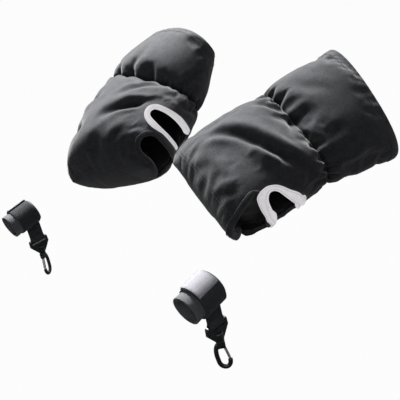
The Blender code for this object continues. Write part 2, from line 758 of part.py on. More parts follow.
    loop_top = -BAND_GAP - LOOP_THICK
    hook_in, hook_top = loop_top - LAYER_GAP, loop_top - LAYER_GAP - HOOK_THICK
    tape(muff, prefix + "_closing_tape_loop",
         ((2 * TAPE_STEP, -BAND_GAP, loop_top), (TAPE_ON_PANEL + TAPE_STEP, -BAND_GAP, loop_top)),
         flap_rear)
    tape(muff, prefix + "_closing_tape_hook",
         ((-TAPE_ON_FLAP, -BAND_GAP, hook_top), (-TAPE_STEP, -BAND_GAP, hook_top),
          (TAPE_STEP, hook_in, hook_top), (TAPE_ON_PANEL, hook_in, hook_top)), flap_rear)
    print(prefix, "hinge", [round(float(v), 5) for v in hinge * (side, 1, 1)],
          "axis", [round(float(v), 5) for v in hinge_axis * (side, 1, 1)])


# Strap hooks
def arc_frames(origin, along, across, up, radii, angles):
    """Frames round an axis: first axis points out, second along the axis."""
    frames = []
    for radius, angle in zip(radii, angles):
        out = across * math.cos(math.radians(angle)) + up * math.sin(math.radians(angle))
        frames.append((origin + out * radius, out, along))
    return frames


def spread(start, end, step):
    count = max(int(math.ceil(abs(end - start) / step)), 1)
    return [start + (end - start) * i / count for i in range(count + 1)]


def plate(thick, width):
    return ((0.0, -width / 2), (thick, -width / 2), (thick, width / 2), (0.0, width / 2))


def lathe(outline, sides=ROUND_SIDES):
    """A solid of revolution about the vertical; outline lists (radius, height), ends on the axis."""
    verts, faces = [], []
    body = outline[1:-1]
    for radius, height in body:
        for i in range(sides):
            turn = 2 * math.pi * i / sides
            verts.append((radius * math.cos(turn), radius * math.sin(turn), height))
    faces = loop_faces(len(body), sides)
    for end, first in ((outline[0], 0), (outline[-1], (len(body) - 1) * sides)):
        verts.append((0.0, 0.0, end[1]))
        for i in range(sides):
            pair = (first + i, first + (i + 1) % sides)
            faces.append((*(pair if first else reversed(pair)), len(verts) - 1))
    return verts, outward(verts, faces)


def extrude(outline, low, high, axes, origin):
    """A flat outline (pairs along the first two axes) between two places on the third."""
    verts = []
    for place in (low, high):
        for first, second in outline:
            verts.append(origin + axes[0] * first + axes[1] * second + axes[2] * place)
    count = len(outline)
    faces = loop_faces(2, count)
    faces.append(tuple(reversed(range(count))))
    faces.append(tuple(range(count, 2 * count)))
    return verts, outward(verts, faces)


def build_hook(prefix, side, tail_end, swivel_turn):
    """All the pieces of one strap hook, hanging from its sleeve on the leg."""
    leg = np.array(LEG_POINT)
    dip = math.radians(LEG_DIP)
    along = np.array((0.0, -math.cos(dip), -math.sin(dip)))
    across = np.array((1.0, 0.0, 0.0))
    up = np.cross(along, across)

    pad_centre = leg + along * (PAD_AHEAD - PAD_LENGTH / 2)
    round_end = UNDERSIDE + FULL_TURN
    angles = spread(UNDERSIDE + PAD_SLIT, round_end - PAD_SLIT, ARC_STEP)
    frames = arc_frames(pad_centre, along, across, up, [PAD_INNER] * len(angles), angles)
    new_object(prefix + "_leg_pad", *sweep(frames, plate(PAD_OUTER - PAD_INNER, PAD_LENGTH)),
               "pad", side, leg)

    angles = spread(UNDERSIDE, round_end, ARC_STEP)
    angles += spread(round_end, FULL_TURN + tail_end, ARC_STEP)[1:]
    first_overlap = round_end - TAIL_RAMP
    radii = []
    for angle in angles:
        climb = min(max((angle - first_overlap) / TAIL_RAMP, 0.0), 1.0)
        radii.append(STRAP_INNER + (STRAP_TAIL - STRAP_INNER) * climb)
    frames = arc_frames(leg, along, across, up, radii, angles)
    new_object(prefix + "_strap", *sweep(frames, plate(STRAP_THICK, STRAP_WIDTH)), "strap", side, leg)

    angles = spread(tail_end - PATCH_SPAN, tail_end, ARC_STEP)
    frames = arc_frames(leg, along, across, up, [PATCH_INNER] * len(angles), angles)
    new_object(prefix + "_grey_patch", *sweep(frames, plate(PATCH_THICK, PATCH_WIDTH)),
               "patch", side, leg)

    # Webbing: two plies sewn together above, opening into a loop round the base's bar
    bar = leg + np.array((0.0, WEB_SHIFT, -BASE_DROP))
    ply = WEB_THICK
    eye = BAR_PIN_RADIUS + GAP
    inner, outer = [], []
    for i in range(EYE_SIDES + 1):
        turn = math.radians(EYE_START + EYE_SPAN * i / EYE_SIDES)
        inner.append((eye * math.cos(turn), eye * math.sin(turn)))
        outer.append(((eye + ply) * math.cos(turn), (eye + ply) * math.sin(turn)))
    meet = eye * EYE_MEET_SHARE
    inner.append((0.0, meet))
    strap_foot = BASE_DROP - (STRAP_TAIL + STRAP_THICK + GAP) / math.cos(dip)
    outer_top = [(ply, meet + ply), (ply, strap_foot), (-ply, strap_foot), (-ply, meet + ply)]
    verts, faces = [], []
    tilt = math.tan(dip)
    for place in (-WEB_WIDTH / 2, WEB_WIDTH / 2):
        for x, z in inner + outer + outer_top:
            lift = (place + WEB_SHIFT) * tilt if z == strap_foot else 0.0
            verts.append(bar + np.array((x, place, z + lift)))
    total = len(inner) + len(outer) + len(outer_top)
    first_outer, first_top = len(inner), len(inner) + len(outer)
    last = EYE_SIDES
    flat = [(i, i + 1, first_outer + i + 1, first_outer + i) for i in range(last)]
    flat.append((last, last + 1, first_top, first_outer + last))
    flat.append((last + 1, first_top + 3, first_top))
    flat.append((last + 1, 0, first_outer, first_top + 3))
    flat.append((first_top, first_top + 3, first_top + 2, first_top + 1))
    faces = list(flat) + [tuple(total + corner for corner in reversed(face)) for face in flat]
    outer_rim = list(range(first_outer, total))
    inner_rim = list(range(first_outer))
    for rim, turned in ((outer_rim, False), (inner_rim, True)):
        for here, there in zip(rim, rim[1:] + rim[:1]):
            face = (here, there, there + total, here + total)
            faces.append(tuple(reversed(face)) if turned else face)
    new_object(prefix + "_webbing_loop", verts, outward(verts, faces), "web", side, bar, smooth=False)

    # Swivel base: bar and trapezoid plate with a boss for the swivel
    axes = (np.array((0.0, 1.0, 0.0)), np.array((0.0, 0.0, 1.0)), np.array((1.0, 0.0, 0.0)))
    rounding = BASE_TOP * BASE_ROUND_SHARE
    outline = (
        (-BASE_TOP_HALF + rounding, BASE_TOP), (-BASE_TOP_HALF, BASE_TOP - rounding),
        (-BASE_SHOULDER_HALF, BASE_SHOULDER), (-BASE_FOOT_HALF, BASE_FOOT),
        (BASE_FOOT_HALF, BASE_FOOT), (BASE_SHOULDER_HALF, BASE_SHOULDER),
        (BASE_TOP_HALF, BASE_TOP - rounding), (BASE_TOP_HALF - rounding, BASE_TOP),
    )
    verts, faces = extrude(outline, -BASE_HALF_THICK, BASE_HALF_THICK, axes, bar)
    base = new_object(prefix + "_swivel_base", verts, faces, "plastic", side, bar, smooth=False)
    edge = base.modifiers.new("soft_edges", "BEVEL")
    edge.width = BASE_BEVEL
    edge.segments = 1
    edge.limit_method = "ANGLE"
    boss = [(0, BOSS_TOP), (BOSS_RADIUS, BOSS_TOP), (BOSS_RADIUS, BOSS_FOOT), (0, BOSS_FOOT)]
    boss_verts, boss_faces = lathe(boss)
    boolean(base, new_object(prefix + "_add_boss", np.array(boss_verts) + bar, boss_faces, side=side),
            "UNION")
    window = box(axes, bar, (-WEB_SLOT_HALF, WEB_SLOT_FOOT, -BOX_REACH), (WEB_SLOT_HALF, BOX_REACH, BOX_REACH))
    boolean(base, new_object(prefix + "_cut_window", *window, side=side))
    rod_half = WEB_SLOT_HALF + BAR_PIN_SEAT
    rod = [(bar + axes[0] * place, axes[2], axes[1]) for place in (-rod_half, rod_half)]
    boolean(base, new_object(prefix + "_add_bar", *sweep(rod, circle(BAR_PIN_RADIUS, ROD_SIDES)), side=side),
            "UNION")
    socket = [(0, CHAMBER_TOP), (CHAMBER_RADIUS, CHAMBER_TOP), (CHAMBER_RADIUS, CHAMBER_FOOT),
              (BORE_RADIUS, CHAMBER_FOOT), (BORE_RADIUS, BOSS_FOOT - BORE_RADIUS),
              (0, BOSS_FOOT - BORE_RADIUS)]
    socket_verts, socket_faces = lathe(socket)
    boolean(base, new_object(prefix + "_cut_socket", np.array(socket_verts) + bar, socket_faces, side=side))

    # Snap hook body, turned about the swivel's axis
    turn = math.radians(swivel_turn)
    sideways = np.array((side * math.cos(turn), math.sin(turn), 0.0))
    vertical = np.array((0.0, 0.0, 1.0))
    facing = np.cross(sideways, vertical)
    snap_axes = (sideways, vertical, facing)
    head = [(0, HEAD_TOP), (HEAD_RADIUS, HEAD_TOP), (HEAD_RADIUS, HEAD_FOOT), (STEM_RADIUS, HEAD_FOOT),
            (STEM_RADIUS, COLLAR_TOP), (COLLAR_RADIUS, COLLAR_TOP), (COLLAR_RADIUS, COLLAR_FOOT),
            (0, COLLAR_FOOT)]
    head_verts, head_faces = lathe(head)
    snap = new_object(prefix + "_snap_hook", np.array(head_verts) + bar, head_faces, "plastic", side, bar,
                      smooth=False)
    points = [bar + sideways * u + vertical * z for u, z in zip(SNAP_U, SNAP_Z)]
    frames = []
    for index, point in enumerate(points):
        before, after = points[max(index - 1, 0)], points[min(index + 1, len(points) - 1)]
        frames.append((point, np.cross(unit(after - before), facing), facing))
    oval = [(SNAP_HALF_IN * math.cos(a), SNAP_HALF_OUT * math.sin(a))
            for a in [2 * math.pi * (i + 0.5) / SNAP_SIDES for i in range(SNAP_SIDES)]]
    boolean(snap, new_object(prefix + "_add_hook", *sweep(frames, oval), side=side), "UNION")
    block = box(snap_axes, bar, (BLOCK_U[0], BLOCK_Z[0], -BLOCK_HALF), (BLOCK_U[1], BLOCK_Z[1], BLOCK_HALF))
    boolean(snap, new_object(prefix + "_add_block", *block, side=side), "UNION")
    fork = box(snap_axes, bar, (FORK_U[0], FORK_Z[0], -FORK_HALF), (FORK_U[1], FORK_Z[1], FORK_HALF))
    boolean(snap, new_object(prefix + "_cut_fork", *fork, side=side))
    pivot = bar + sideways * PIVOT_U + vertical * PIVOT_Z

    def pivot_rod(radius, half):
        frames = [(pivot + facing * place, sideways, vertical) for place in (-half, half)]
        return sweep(frames, circle(radius, PIN_SIDES))

    pin_hole = new_object(prefix + "_cut_pin", *pivot_rod(PIN_HOLE, 2 * PIN_HALF), side=side)
    boolean(snap, pin_hole)
    new_object(prefix + "_gate_pin", *pivot_rod(PIN_RADIUS, PIN_HALF), "steel", side, pivot)

    end = bar + sideways * GATE_END_U + vertical * GATE_END_Z
    down = unit(end - pivot)
    inward = np.cross(down, facing)
    outline = []
    for i in range(GATE_TOP_SIDES + 1):
        angle = math.pi * i / GATE_TOP_SIDES
        outline.append((GATE_HALF_IN * math.cos(angle), GATE_HALF_IN * math.sin(angle)))
    length = np.linalg.norm(end - pivot)
    outline += [(-GATE_HALF_IN, -length), (GATE_HALF_IN, -length)]
    verts, faces = extrude(outline, -GATE_HALF_OUT, GATE_HALF_OUT, (inward, -down, facing), pivot)
    gate = new_object(prefix + "_gate", verts, faces, "steel", side, pivot, smooth=False)
    boolean(gate, pin_hole)

    points = [bar + sideways * u + vertical * z for u, z in zip(LEAF_U, LEAF_Z)]
    frames = []
    for index, point in enumerate(points):
        before, after = points[max(index - 1, 0)], points[min(index + 1, len(points) - 1)]
        frames.append((point, np.cross(unit(after - before), facing), facing))
    leaf = ((-LEAF_THICK / 2, -LEAF_HALF), (LEAF_THICK / 2, -LEAF_HALF),
            (LEAF_THICK / 2, LEAF_HALF), (-LEAF_THICK / 2, LEAF_HALF))
    new_object(prefix + "_gate_spring", *sweep(frames, leaf), "steel", side, pivot, smooth=False)
    print(prefix, "leg", leg * (side, 1, 1), "along", along, "bar", bar * (side, 1, 1),
          "pivot", pivot * (side, 1, 1), "gate axis", facing * (side, 1, 1))


build_muff(LEFT, "left")
build_muff(RIGHT, "right")
build_hook("left_hook", 1, LEFT_TAIL_END, LEFT_SWIVEL)
build_hook("right_hook", -1, RIGHT_TAIL_END, RIGHT_SWIVEL)
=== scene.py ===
import math

import bmesh
import bpy
import numpy as np
from mathutils import Matrix, Vector


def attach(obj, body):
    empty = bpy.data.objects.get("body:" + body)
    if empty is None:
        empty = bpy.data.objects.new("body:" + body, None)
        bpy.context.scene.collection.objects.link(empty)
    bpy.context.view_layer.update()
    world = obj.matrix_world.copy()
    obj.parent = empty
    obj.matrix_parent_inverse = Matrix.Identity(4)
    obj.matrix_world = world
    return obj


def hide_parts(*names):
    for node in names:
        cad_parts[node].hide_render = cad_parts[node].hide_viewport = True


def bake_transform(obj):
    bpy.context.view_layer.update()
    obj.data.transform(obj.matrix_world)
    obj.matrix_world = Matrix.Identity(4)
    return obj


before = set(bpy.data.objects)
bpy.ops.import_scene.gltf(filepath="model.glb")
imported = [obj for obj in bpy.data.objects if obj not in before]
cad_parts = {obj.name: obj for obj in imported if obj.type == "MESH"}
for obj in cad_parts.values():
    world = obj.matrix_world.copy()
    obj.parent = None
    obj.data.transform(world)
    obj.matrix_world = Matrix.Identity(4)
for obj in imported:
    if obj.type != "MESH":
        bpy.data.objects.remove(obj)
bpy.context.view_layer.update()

# Studio: the camera stands ahead of the left muff and a little above, tipped to one side.
# One large soft lamp hangs up on the left, and the pale floor lies well below the bar.


def linked(name, data):
    """A new object in the scene."""
    thing = bpy.data.objects.new(name, data)
    bpy.context.scene.collection.objects.link(thing)
    return thing


def feed(tree, made, inputs):
    """Sets a node's inputs; one given as another node's socket is wired to it."""
    for key, value in inputs.items():
        if isinstance(value, bpy.types.NodeSocket):
            tree.links.new(value, made.inputs[key])
        else:
            made.inputs[key].default_value = value


def node(tree, kind, inputs=None, **settings):
    made = tree.nodes.new(kind)
    for key, value in settings.items():
        setattr(made, key, value)
    feed(tree, made, inputs or {})
    return made


def new_material(name):
    made = bpy.data.materials.new(name)
    made.use_nodes = True
    return made, made.node_tree, made.node_tree.nodes["Principled BSDF"]


def rectangle(x0, x1, y0, y1):
    return ((x0, y0), (x1, y0), (x1, y1), (x0, y1))


def soft_lamp(name, direction, distance, size, power):
    """A round soft lamp that faces the set."""
    lamp = linked(name, bpy.data.lights.new(name, "AREA"))
    lamp.data.shape, lamp.data.size, lamp.data.energy = "DISK", size, power
    towards = direction.normalized()
    lamp.location = aim + towards * distance
    lamp.rotation_mode = "QUATERNION"
    lamp.rotation_quaternion = towards.to_track_quat("Z", "Y")


aim, camera_distance = Vector((0.052, 0.006, -0.081)), 0.979
azimuth, elevation, tip = math.radians(51.7), math.radians(24.9), math.radians(-12.5)
focal_pixels, photo_pixels, sensor = 622, 400, 36
back = Vector((math.sin(azimuth) * math.cos(elevation), -math.cos(azimuth) * math.cos(elevation),
               math.sin(elevation)))
level = Vector((math.cos(azimuth), math.sin(azimuth), 0.0))
upright = back.cross(level)
right = level * math.cos(tip) + upright * math.sin(tip)
up = upright * math.cos(tip) - level * math.sin(tip)
camera = linked("camera", bpy.data.cameras.new("camera"))
camera.data.lens = focal_pixels / photo_pixels * sensor
camera.data.sensor_width = sensor
camera.data.clip_start = 0.05
place = Matrix((right, up, back)).transposed().to_4x4()
place.translation = aim + back * camera_distance
camera.matrix_world = place
bpy.context.scene.camera = camera
soft_lamp("key_lamp", Vector((-0.78, 0.42, 1.0)), 2.6, 0.8, 180)
soft_lamp("front_lamp", back * 1.0 + up * 0.25 - right * 0.15, 2.2, 0.9, 4)

world = bpy.data.worlds.new("studio")
bpy.context.scene.world = world
world.use_nodes = True
sky = world.node_tree
rays = node(sky, "ShaderNodeLightPath").outputs
shown = node(sky, "ShaderNodeMath", {0: rays["Is Camera Ray"], 1: rays["Is Glossy Ray"]}, operation="MAXIMUM")
strength = node(sky, "ShaderNodeMapRange", {"Value": shown.outputs[0], "To Min": 0.022, "To Max": 1.0})
feed(sky, sky.nodes["Background"], {"Color": (1, 1, 1, 1), "Strength": strength.outputs[0]})

floor_reach, floor_height, floor_brightness = 40.0, -0.62, 0.97
floor_mesh = bpy.data.meshes.new("floor")
floor_corners = rectangle(-floor_reach, floor_reach, -floor_reach, floor_reach)
floor_mesh.from_pydata([(x, y, floor_height) for x, y in floor_corners], [], [(0, 1, 2, 3)])
floor = linked("floor", floor_mesh)
paper, tree, matt = new_material("pale_floor")
feed(tree, matt, {"Base Color": (0.08, 0.08, 0.08, 1), "Roughness": 0.9})
seen = node(tree, "ShaderNodeLightPath").outputs["Is Camera Ray"]
share = node(tree, "ShaderNodeMath", {0: seen, 1: floor_brightness}, operation="MULTIPLY")
white = node(tree, "ShaderNodeEmission")
mixed = node(tree, "ShaderNodeMixShader", {0: share.outputs[0], 1: matt.outputs[0], 2: white.outputs[0]})
feed(tree, tree.nodes["Material Output"], {"Surface": mixed.outputs[0]})
floor_mesh.materials.append(paper)
bpy.context.scene.view_settings.view_transform = "Standard"

# Cloths: charcoal softshell outside, black short-pile fleece and elastic inside, and light grey
# reflective tape round the side slots. Each is woven or knitted, so each has its own grain.


def node_group(name, kind, given, returned):
    """A node group; its inputs and outputs are listed as name, kind of socket and first value."""
    made = bpy.data.node_groups.new(name, kind)
    for way, sockets in (("INPUT", given), ("OUTPUT", returned)):
        for label, socket_kind, value in sockets:
            socket = made.interface.new_socket(name=label, in_out=way, socket_type="NodeSocket" + socket_kind)
            if value is not None:
                socket.default_value = value
    return made, made.nodes.new("NodeGroupInput").outputs, made.nodes.new("NodeGroupOutput")


def ramp(tree, share, low, dark, high, light):
    """A colour that goes from dark to light between two shares."""
    made = node(tree, "ShaderNodeValToRGB", {"Fac": share})
    for stop, position, colour in zip(made.color_ramp.elements, (low, high), (dark, light)):
        stop.position, stop.color = position, (*colour, 1)
    return made.outputs["Color"]


def relief(tree, height, strength, distance):
    bump = node(tree, "ShaderNodeBump", {"Height": height, "Strength": strength, "Distance": distance})
    return bump.outputs["Normal"]


grain, given, result = node_group(
    "cloth_grain", "ShaderNodeTree",
    (("Position", "Vector", None), ("Thread Scale", "Float", 900.0), ("Patch Scale", "Float", 60.0)),
    (("Height", "Float", None), ("Mottle", "Float", None)))
where, thread_size, patch_size = given["Position"], given["Thread Scale"], given["Patch Scale"]
thread = node(grain, "ShaderNodeTexNoise", {"Vector": where, "Scale": thread_size, "Detail": 2.0})
fleck = node(grain, "ShaderNodeTexVoronoi", {"Vector": where, "Scale": thread_size})
patch = node(grain, "ShaderNodeTexNoise", {"Vector": where, "Scale": patch_size, "Detail": 4.0,
                                           "Roughness": 0.6})
cloud = node(grain, "ShaderNodeTexNoise", {"Vector": where, "Scale": 75.0, "Detail": 3.0})
joined = node(grain, "ShaderNodeMix", {"Factor": 0.45, "A": fleck.outputs["Distance"],
                                       "B": patch.outputs["Fac"]})
clouded = node(grain, "ShaderNodeMix", {"Factor": 0.35, "A": joined.outputs["Result"],
                                        "B": cloud.outputs["Fac"]})
feed(grain, result, {"Height": thread.outputs["Fac"], "Mottle": clouded.outputs["Result"]})


def cloth(name, dark, light, thread_scale, patch_scale, bump, roughness, sheen, stretch=(1, 1, 1),
          fold_shade_strength=0.0):
    """A woven or knitted cloth, mottled between two colours, with painted shade that darkens its colour where a
    point mask marks its folds.
    """
    made, tree, shader = new_material(name)
    where = node(tree, "ShaderNodeTexCoord").outputs["Object"]
    lay = node(tree, "ShaderNodeMapping", {"Vector": where, "Scale": stretch})
    weave = node(tree, "ShaderNodeGroup", {"Position": lay.outputs["Vector"], "Thread Scale": thread_scale,
                                           "Patch Scale": patch_scale}, node_tree=grain)
    tint = ramp(tree, weave.outputs["Mottle"], 0.30, dark, 0.62, light)
    # Painted shade: the colour is darkened where the mesh's point mask marks a crease, a gather or the wrist
    # valley.
    fold_shade = node(tree, "ShaderNodeAttribute", attribute_name="fold_shade")
    kept = 1 - fold_shade_strength
    shade = node(tree, "ShaderNodeMix", {0: fold_shade.outputs["Fac"], 6: tint, 7: (kept, kept, kept, 1)},
                 data_type="RGBA", blend_type="MULTIPLY")
    feed(tree, shader, {"Base Color": shade.outputs[2], "Roughness": roughness, "Specular IOR Level": 0.10,
                        "Sheen Weight": sheen, "Sheen Roughness": 0.5,
                        "Normal": relief(tree, weave.outputs["Height"], bump, 0.0006)})
    return made


# The softshell's last figure is painted shade: its colour drops to 8% down in the marked folds and round the
# wrist valley.
softshell = cloth("charcoal_softshell", (0.015, 0.015, 0.017), (0.080, 0.083, 0.096),
                  1100, 330, 0.45, 0.80, 0.42, (1.0, 1.0, 1.5), 0.92)
fleece = cloth("black_fleece", (0.006, 0.006, 0.007), (0.016, 0.016, 0.018),
               700, 160, 0.9, 0.95, 0.08)
elastic = cloth("black_elastic", (0.007, 0.007, 0.008), (0.020, 0.020, 0.022),
                1400, 200, 0.8, 0.8, 0.04)
reflective = cloth("reflective_tape", (0.10, 0.097, 0.10), (0.13, 0.127, 0.13),
                   1600, 220, 0.5, 0.6, 0.0)
# The tape's glass beads send light straight back. This is painted light: the tape's own colour is kept dark grey
# and it glows with emission at five times that colour, so it shows bright even on the shaded side.
glowing_tape = reflective.node_tree.nodes["Principled BSDF"]
feed(reflective.node_tree, glowing_tape, {"Emission Color": glowing_tape.inputs["Base Color"].links[0].from_socket,
                                   "Emission Strength": 5.0})

# Muff surface: each muff is one quilted pouch for the hand, drawn in at the wrist and
# opening into a long cuff. It is cut from flat panels, padded, and sewn with the lining inside.
# A turn of 24 is once round the muff, and each ring of its layers has 132 points.
TURNS, AROUND = 24, 132
hand_rows = np.array(((0.00, 0.88, 0.10), (0.03, 0.93, 0.44), (0.10, 0.97, 0.76), (0.25, 1.00, 0.97),
                      (0.45, 1.00, 1.00), (0.68, 0.99, 0.95), (0.86, 0.97, 0.84), (0.95, 0.955, 0.75),
                      (1.00, 0.92, 0.585)))
cuff_rows = np.array(((0.00, 0.92, 0.585), (0.06, 0.96, 0.80), (0.20, 0.99, 0.95), (0.45, 1.00, 1.00),
                      (0.74, 1.00, 0.95), (1.00, 1.00, 0.86)))
left_pose = {
    "side": 1, "centre": (0.138, -0.017, -0.024), "front": 0.039,
    "hand_turn": 13.9, "hand_rise": 9.8, "cuff_turn": 16.0, "cuff_rise": 4.9,
    "rolls": (18.6, 30.2, 48.0), "skews": (7.4, 5.2, 2.6), "hand_length": 0.134, "cuff_length": 0.130,
    "half_widths": (0.098, 0.0945, 0.0995),
    "hand_up": 0.049, "hand_down": 0.055, "cuff_up": 0.045, "cuff_down": 0.045, "swing_room": 0.0006,
}
right_pose = {
    "side": -1, "centre": (0.121, -0.012, -0.028), "front": 0.038,
    "hand_turn": 14.6, "hand_rise": 26.0, "cuff_turn": 10.0, "cuff_rise": 23.7,
    "rolls": (7.8, -15.8, 13.9), "skews": (8.1, -2.3, -16.0), "hand_length": 0.146, "cuff_length": 0.135,
    "half_widths": (0.098, 0.0975, 0.0865),
    "hand_up": 0.068, "hand_down": 0.068, "cuff_up": 0.059, "cuff_down": 0.043, "swing_room": 0.0014,
}
bar_line = np.array(((0.0, 0.0, 0.0), (0.039, 0.0, 0.0), (0.100, 0.0, 0.0), (0.160, -0.002, -0.004),
                     (0.200, -0.020, -0.022), (0.222, -0.056, -0.052), (0.230, -0.110, -0.078),
                     (0.230, -0.165, -0.093), (0.232, -0.194, -0.098)))


def unit(vectors):
    vectors = np.asarray(vectors, float)
    return vectors / np.linalg.norm(vectors, axis=-1, keepdims=True)


def heading(turn, rise):
    turn, rise = math.radians(turn), math.radians(rise)
    return np.array((math.sin(turn) * math.cos(rise), math.cos(turn) * math.cos(rise), math.sin(rise)))


def section_axes(along, roll, skew):
    level = unit(np.cross(along, (0, 0, 1)))
    upright = np.cross(level, along)
    roll, skew = math.radians(roll), math.radians(skew)
    width = level * math.cos(roll) - upright * math.sin(roll)
    return width * math.cos(skew) - along * math.sin(skew), upright * math.cos(roll) + level * math.sin(roll)


def curved(points, steps):
    """A smooth curve through points, with so many steps from one to the next."""
    smooth = []
    for i in range(len(points) - 1):
        p0, p1 = points[max(i - 1, 0)], points[i]
        p2, p3 = points[i + 1], points[min(i + 2, len(points) - 1)]
        for k in range(steps):
            t = k / steps
            smooth.append(0.5 * (2 * p1 + (p2 - p0) * t + (2 * p0 - 5 * p1 + 4 * p2 - p3) * t * t
                                 + (3 * p1 - p0 - 3 * p2 + p3) * t ** 3))
    return np.array(smooth + [points[-1]])


def curve_table(rows):
    """The table's columns on a fine scale, as smooth curves that keep to its points."""
    warp, first_lean, last_lean = 0.5, 1.4, 1.2
    fine = np.linspace(0, 1, 401)
    knots, at = rows[:, 0] ** warp, fine ** warp
    part = np.clip(np.searchsorted(knots, at, "right") - 1, 0, len(knots) - 2)
    span = (knots[1:] - knots[:-1])[part]
    t = (at - knots[part]) / span
    columns = []
    for values in rows[:, 1:].T:
        slopes = np.diff(values) / np.diff(knots)
        inner = np.where(slopes[1:] * slopes[:-1] > 0,
                         2 * slopes[1:] * slopes[:-1] / (slopes[1:] + slopes[:-1] + 1e-12), 0.0)
        lean = np.concatenate(((slopes[0] * first_lean,), inner, (slopes[-1] * last_lean,)))
        columns.append((2 * t ** 3 - 3 * t ** 2 + 1) * values[part]
                       + (t ** 3 - 2 * t ** 2 + t) * span * lean[part]
                       + (3 * t ** 2 - 2 * t ** 3) * values[part + 1]
                       + (t ** 3 - t ** 2) * span * lean[part + 1])
    return fine, columns[0], columns[1]


class MuffShape:
    """Gives any point of a muff's wall: place 0 to 1 along the hand part, 1 to 2 along the cuff."""

    def __init__(self, pose):
        self.pose = pose
        self.side = pose["side"]
        self.mirror = np.array((self.side, 1, 1))
        self.hand = heading(pose["hand_turn"], pose["hand_rise"])
        self.cuff = heading(pose["cuff_turn"], pose["cuff_rise"])
        self.centre = np.array(pose["centre"])
        self.wrist = self.centre + self.hand * pose["hand_length"]
        along = (self.hand, unit(self.hand + self.cuff), self.cuff)
        self.axes = [section_axes(*item) for item in zip(along, pose["rolls"], pose["skews"])]
        self.level, self.drop = section_axes(self.hand, pose["rolls"][0], 0.0)
        self.rows = (curve_table(hand_rows), curve_table(cuff_rows))
        self.flap_top = -pose["hand_down"] * 0.62
        self.flap_rear = pose["hand_length"] * 0.66
        self.fold_ahead, self.bay_radius, self.bay_start = -0.022, 0.0195, 0.062
        self.moved = None
        # Mask of painted shade for the cloth's folds, set by the cloth simulation.
        self.fold_shade = None
        self.slots = {}

    def plain(self, place, turn, depth):
        """Points before the cloth is simulated."""
        place, turn, depth = np.broadcast_arrays(np.asarray(place, float), turn, depth)
        pose = self.pose
        in_cuff = place > 1.0
        local = np.where(in_cuff, place - 1.0, place)
        start = depth - pose["front"]
        ahead = start + local * (pose["hand_length"] - start)
        mix = np.where(in_cuff, local, np.clip(ahead, 0, None) / pose["hand_length"])[..., None]
        origin = np.where(in_cuff[..., None], self.wrist + self.cuff * (local * pose["cuff_length"])[..., None],
                          self.centre + self.hand * ahead[..., None])
        first = [np.where(in_cuff[..., None], self.axes[1][k], self.axes[0][k]) for k in (0, 1)]
        second = [np.where(in_cuff[..., None], self.axes[2][k], self.axes[1][k]) for k in (0, 1)]
        wide = unit(first[0] * (1 - mix) + second[0] * mix)
        high = first[1] * (1 - mix) + second[1] * mix
        high = unit(high - wide * (wide * high).sum(-1, keepdims=True))
        halves = pose["half_widths"]
        half = np.where(in_cuff, halves[1] + (halves[2] - halves[1]) * local,
                        halves[0] + (halves[1] - halves[0]) * mix[..., 0])
        shares = [np.where(in_cuff, np.interp(local, self.rows[1][0], self.rows[1][k]),
                           np.interp(local, self.rows[0][0], self.rows[0][k])) for k in (1, 2)]
        angle, squareness = 2 * math.pi * turn / TURNS, 2 / 2.4
        across = np.sign(np.cos(angle)) * np.abs(np.cos(angle)) ** squareness
        rise = np.sign(np.sin(angle)) * np.abs(np.sin(angle)) ** squareness
        above = np.where(in_cuff, pose["cuff_up"], pose["hand_up"])
        below = np.where(in_cuff, pose["cuff_down"], pose["hand_down"])
        full_share = 0.66
        inset = depth * np.minimum(1.0, shares[1] / full_share)
        height = np.where(rise > 0, above, below) * shares[1] - inset
        return (origin + wide * (across * (half * shares[0] - inset))[..., None]
                + high * (rise * height)[..., None])

    def read(self, grid, place, turn):
        """A grid's values at any place and turn."""
        places, columns, moved = grid
        row = np.interp(place, places, np.arange(len(places)))
        column = np.asarray(turn) / TURNS * columns % columns
        r0, c0 = np.minimum(row.astype(int), len(places) - 2), np.floor(column).astype(int)
        fr, fc = (row - r0)[..., None], (column - c0)[..., None]
        c0, c1 = c0 % columns, (c0 + 1) % columns
        return ((moved[r0, c0] * (1 - fc) + moved[r0, c1] * fc) * (1 - fr)
                + (moved[r0 + 1, c0] * (1 - fc) + moved[r0 + 1, c1] * fc) * fr)

    def points(self, place, turn, depth):
        """Points of the finished cloth; deeper layers follow the surface less."""
        place, turn, depth = np.broadcast_arrays(np.asarray(place, float), np.asarray(turn, float), depth)
        less = (1 - depth * 12)[..., None]
        return self.plain(place, turn, depth) + self.read(self.moved, place, turn) * less

    def ahead_up(self, points):
        offset = points - self.centre
        return offset @ self.hand, offset @ self.drop

    def narrowed(self, place, turn, reach, grid, rounds, shrink, lowest, miss_of):
        """Closes in on the place and turn whose point misses least."""
        for _ in range(rounds):
            places = np.clip(place + grid[:, None] * reach[0], lowest, 1)
            turns = turn + grid[None, :] * reach[1]
            miss = miss_of(self.plain(places, turns, 0.0))
            best = np.unravel_index(np.argmin(miss), miss.shape)
            place = float(np.broadcast_to(places, miss.shape)[best])
            turn = float(np.broadcast_to(turns, miss.shape)[best])
            reach = (reach[0] * shrink, reach[1] * shrink)
        return place, turn

    def find(self, ahead, high, outer_side):
        """Place and turn of the side wall's point so far ahead and up."""
        def miss_of(points):
            got = self.ahead_up(points)
            return (got[0] - ahead) ** 2 + (got[1] - high) ** 2
        middle = 0.0 if outer_side else TURNS / 2
        return self.narrowed(0.5, middle, (0.045, 0.55), np.arange(-12, 13), 9, 0.35, 0, miss_of)


def ring_faces(rows, columns, closed):
    """Quads between rings of points."""
    row = np.arange(rows if closed else rows - 1)[:, None]
    column = np.arange(columns)[None, :]
    below, beside = (row + 1) % rows, (column + 1) % columns
    faces = np.stack((row * columns + column, row * columns + beside,
                      below * columns + beside, below * columns + column), -1)
    return faces.reshape(-1, 4).tolist()


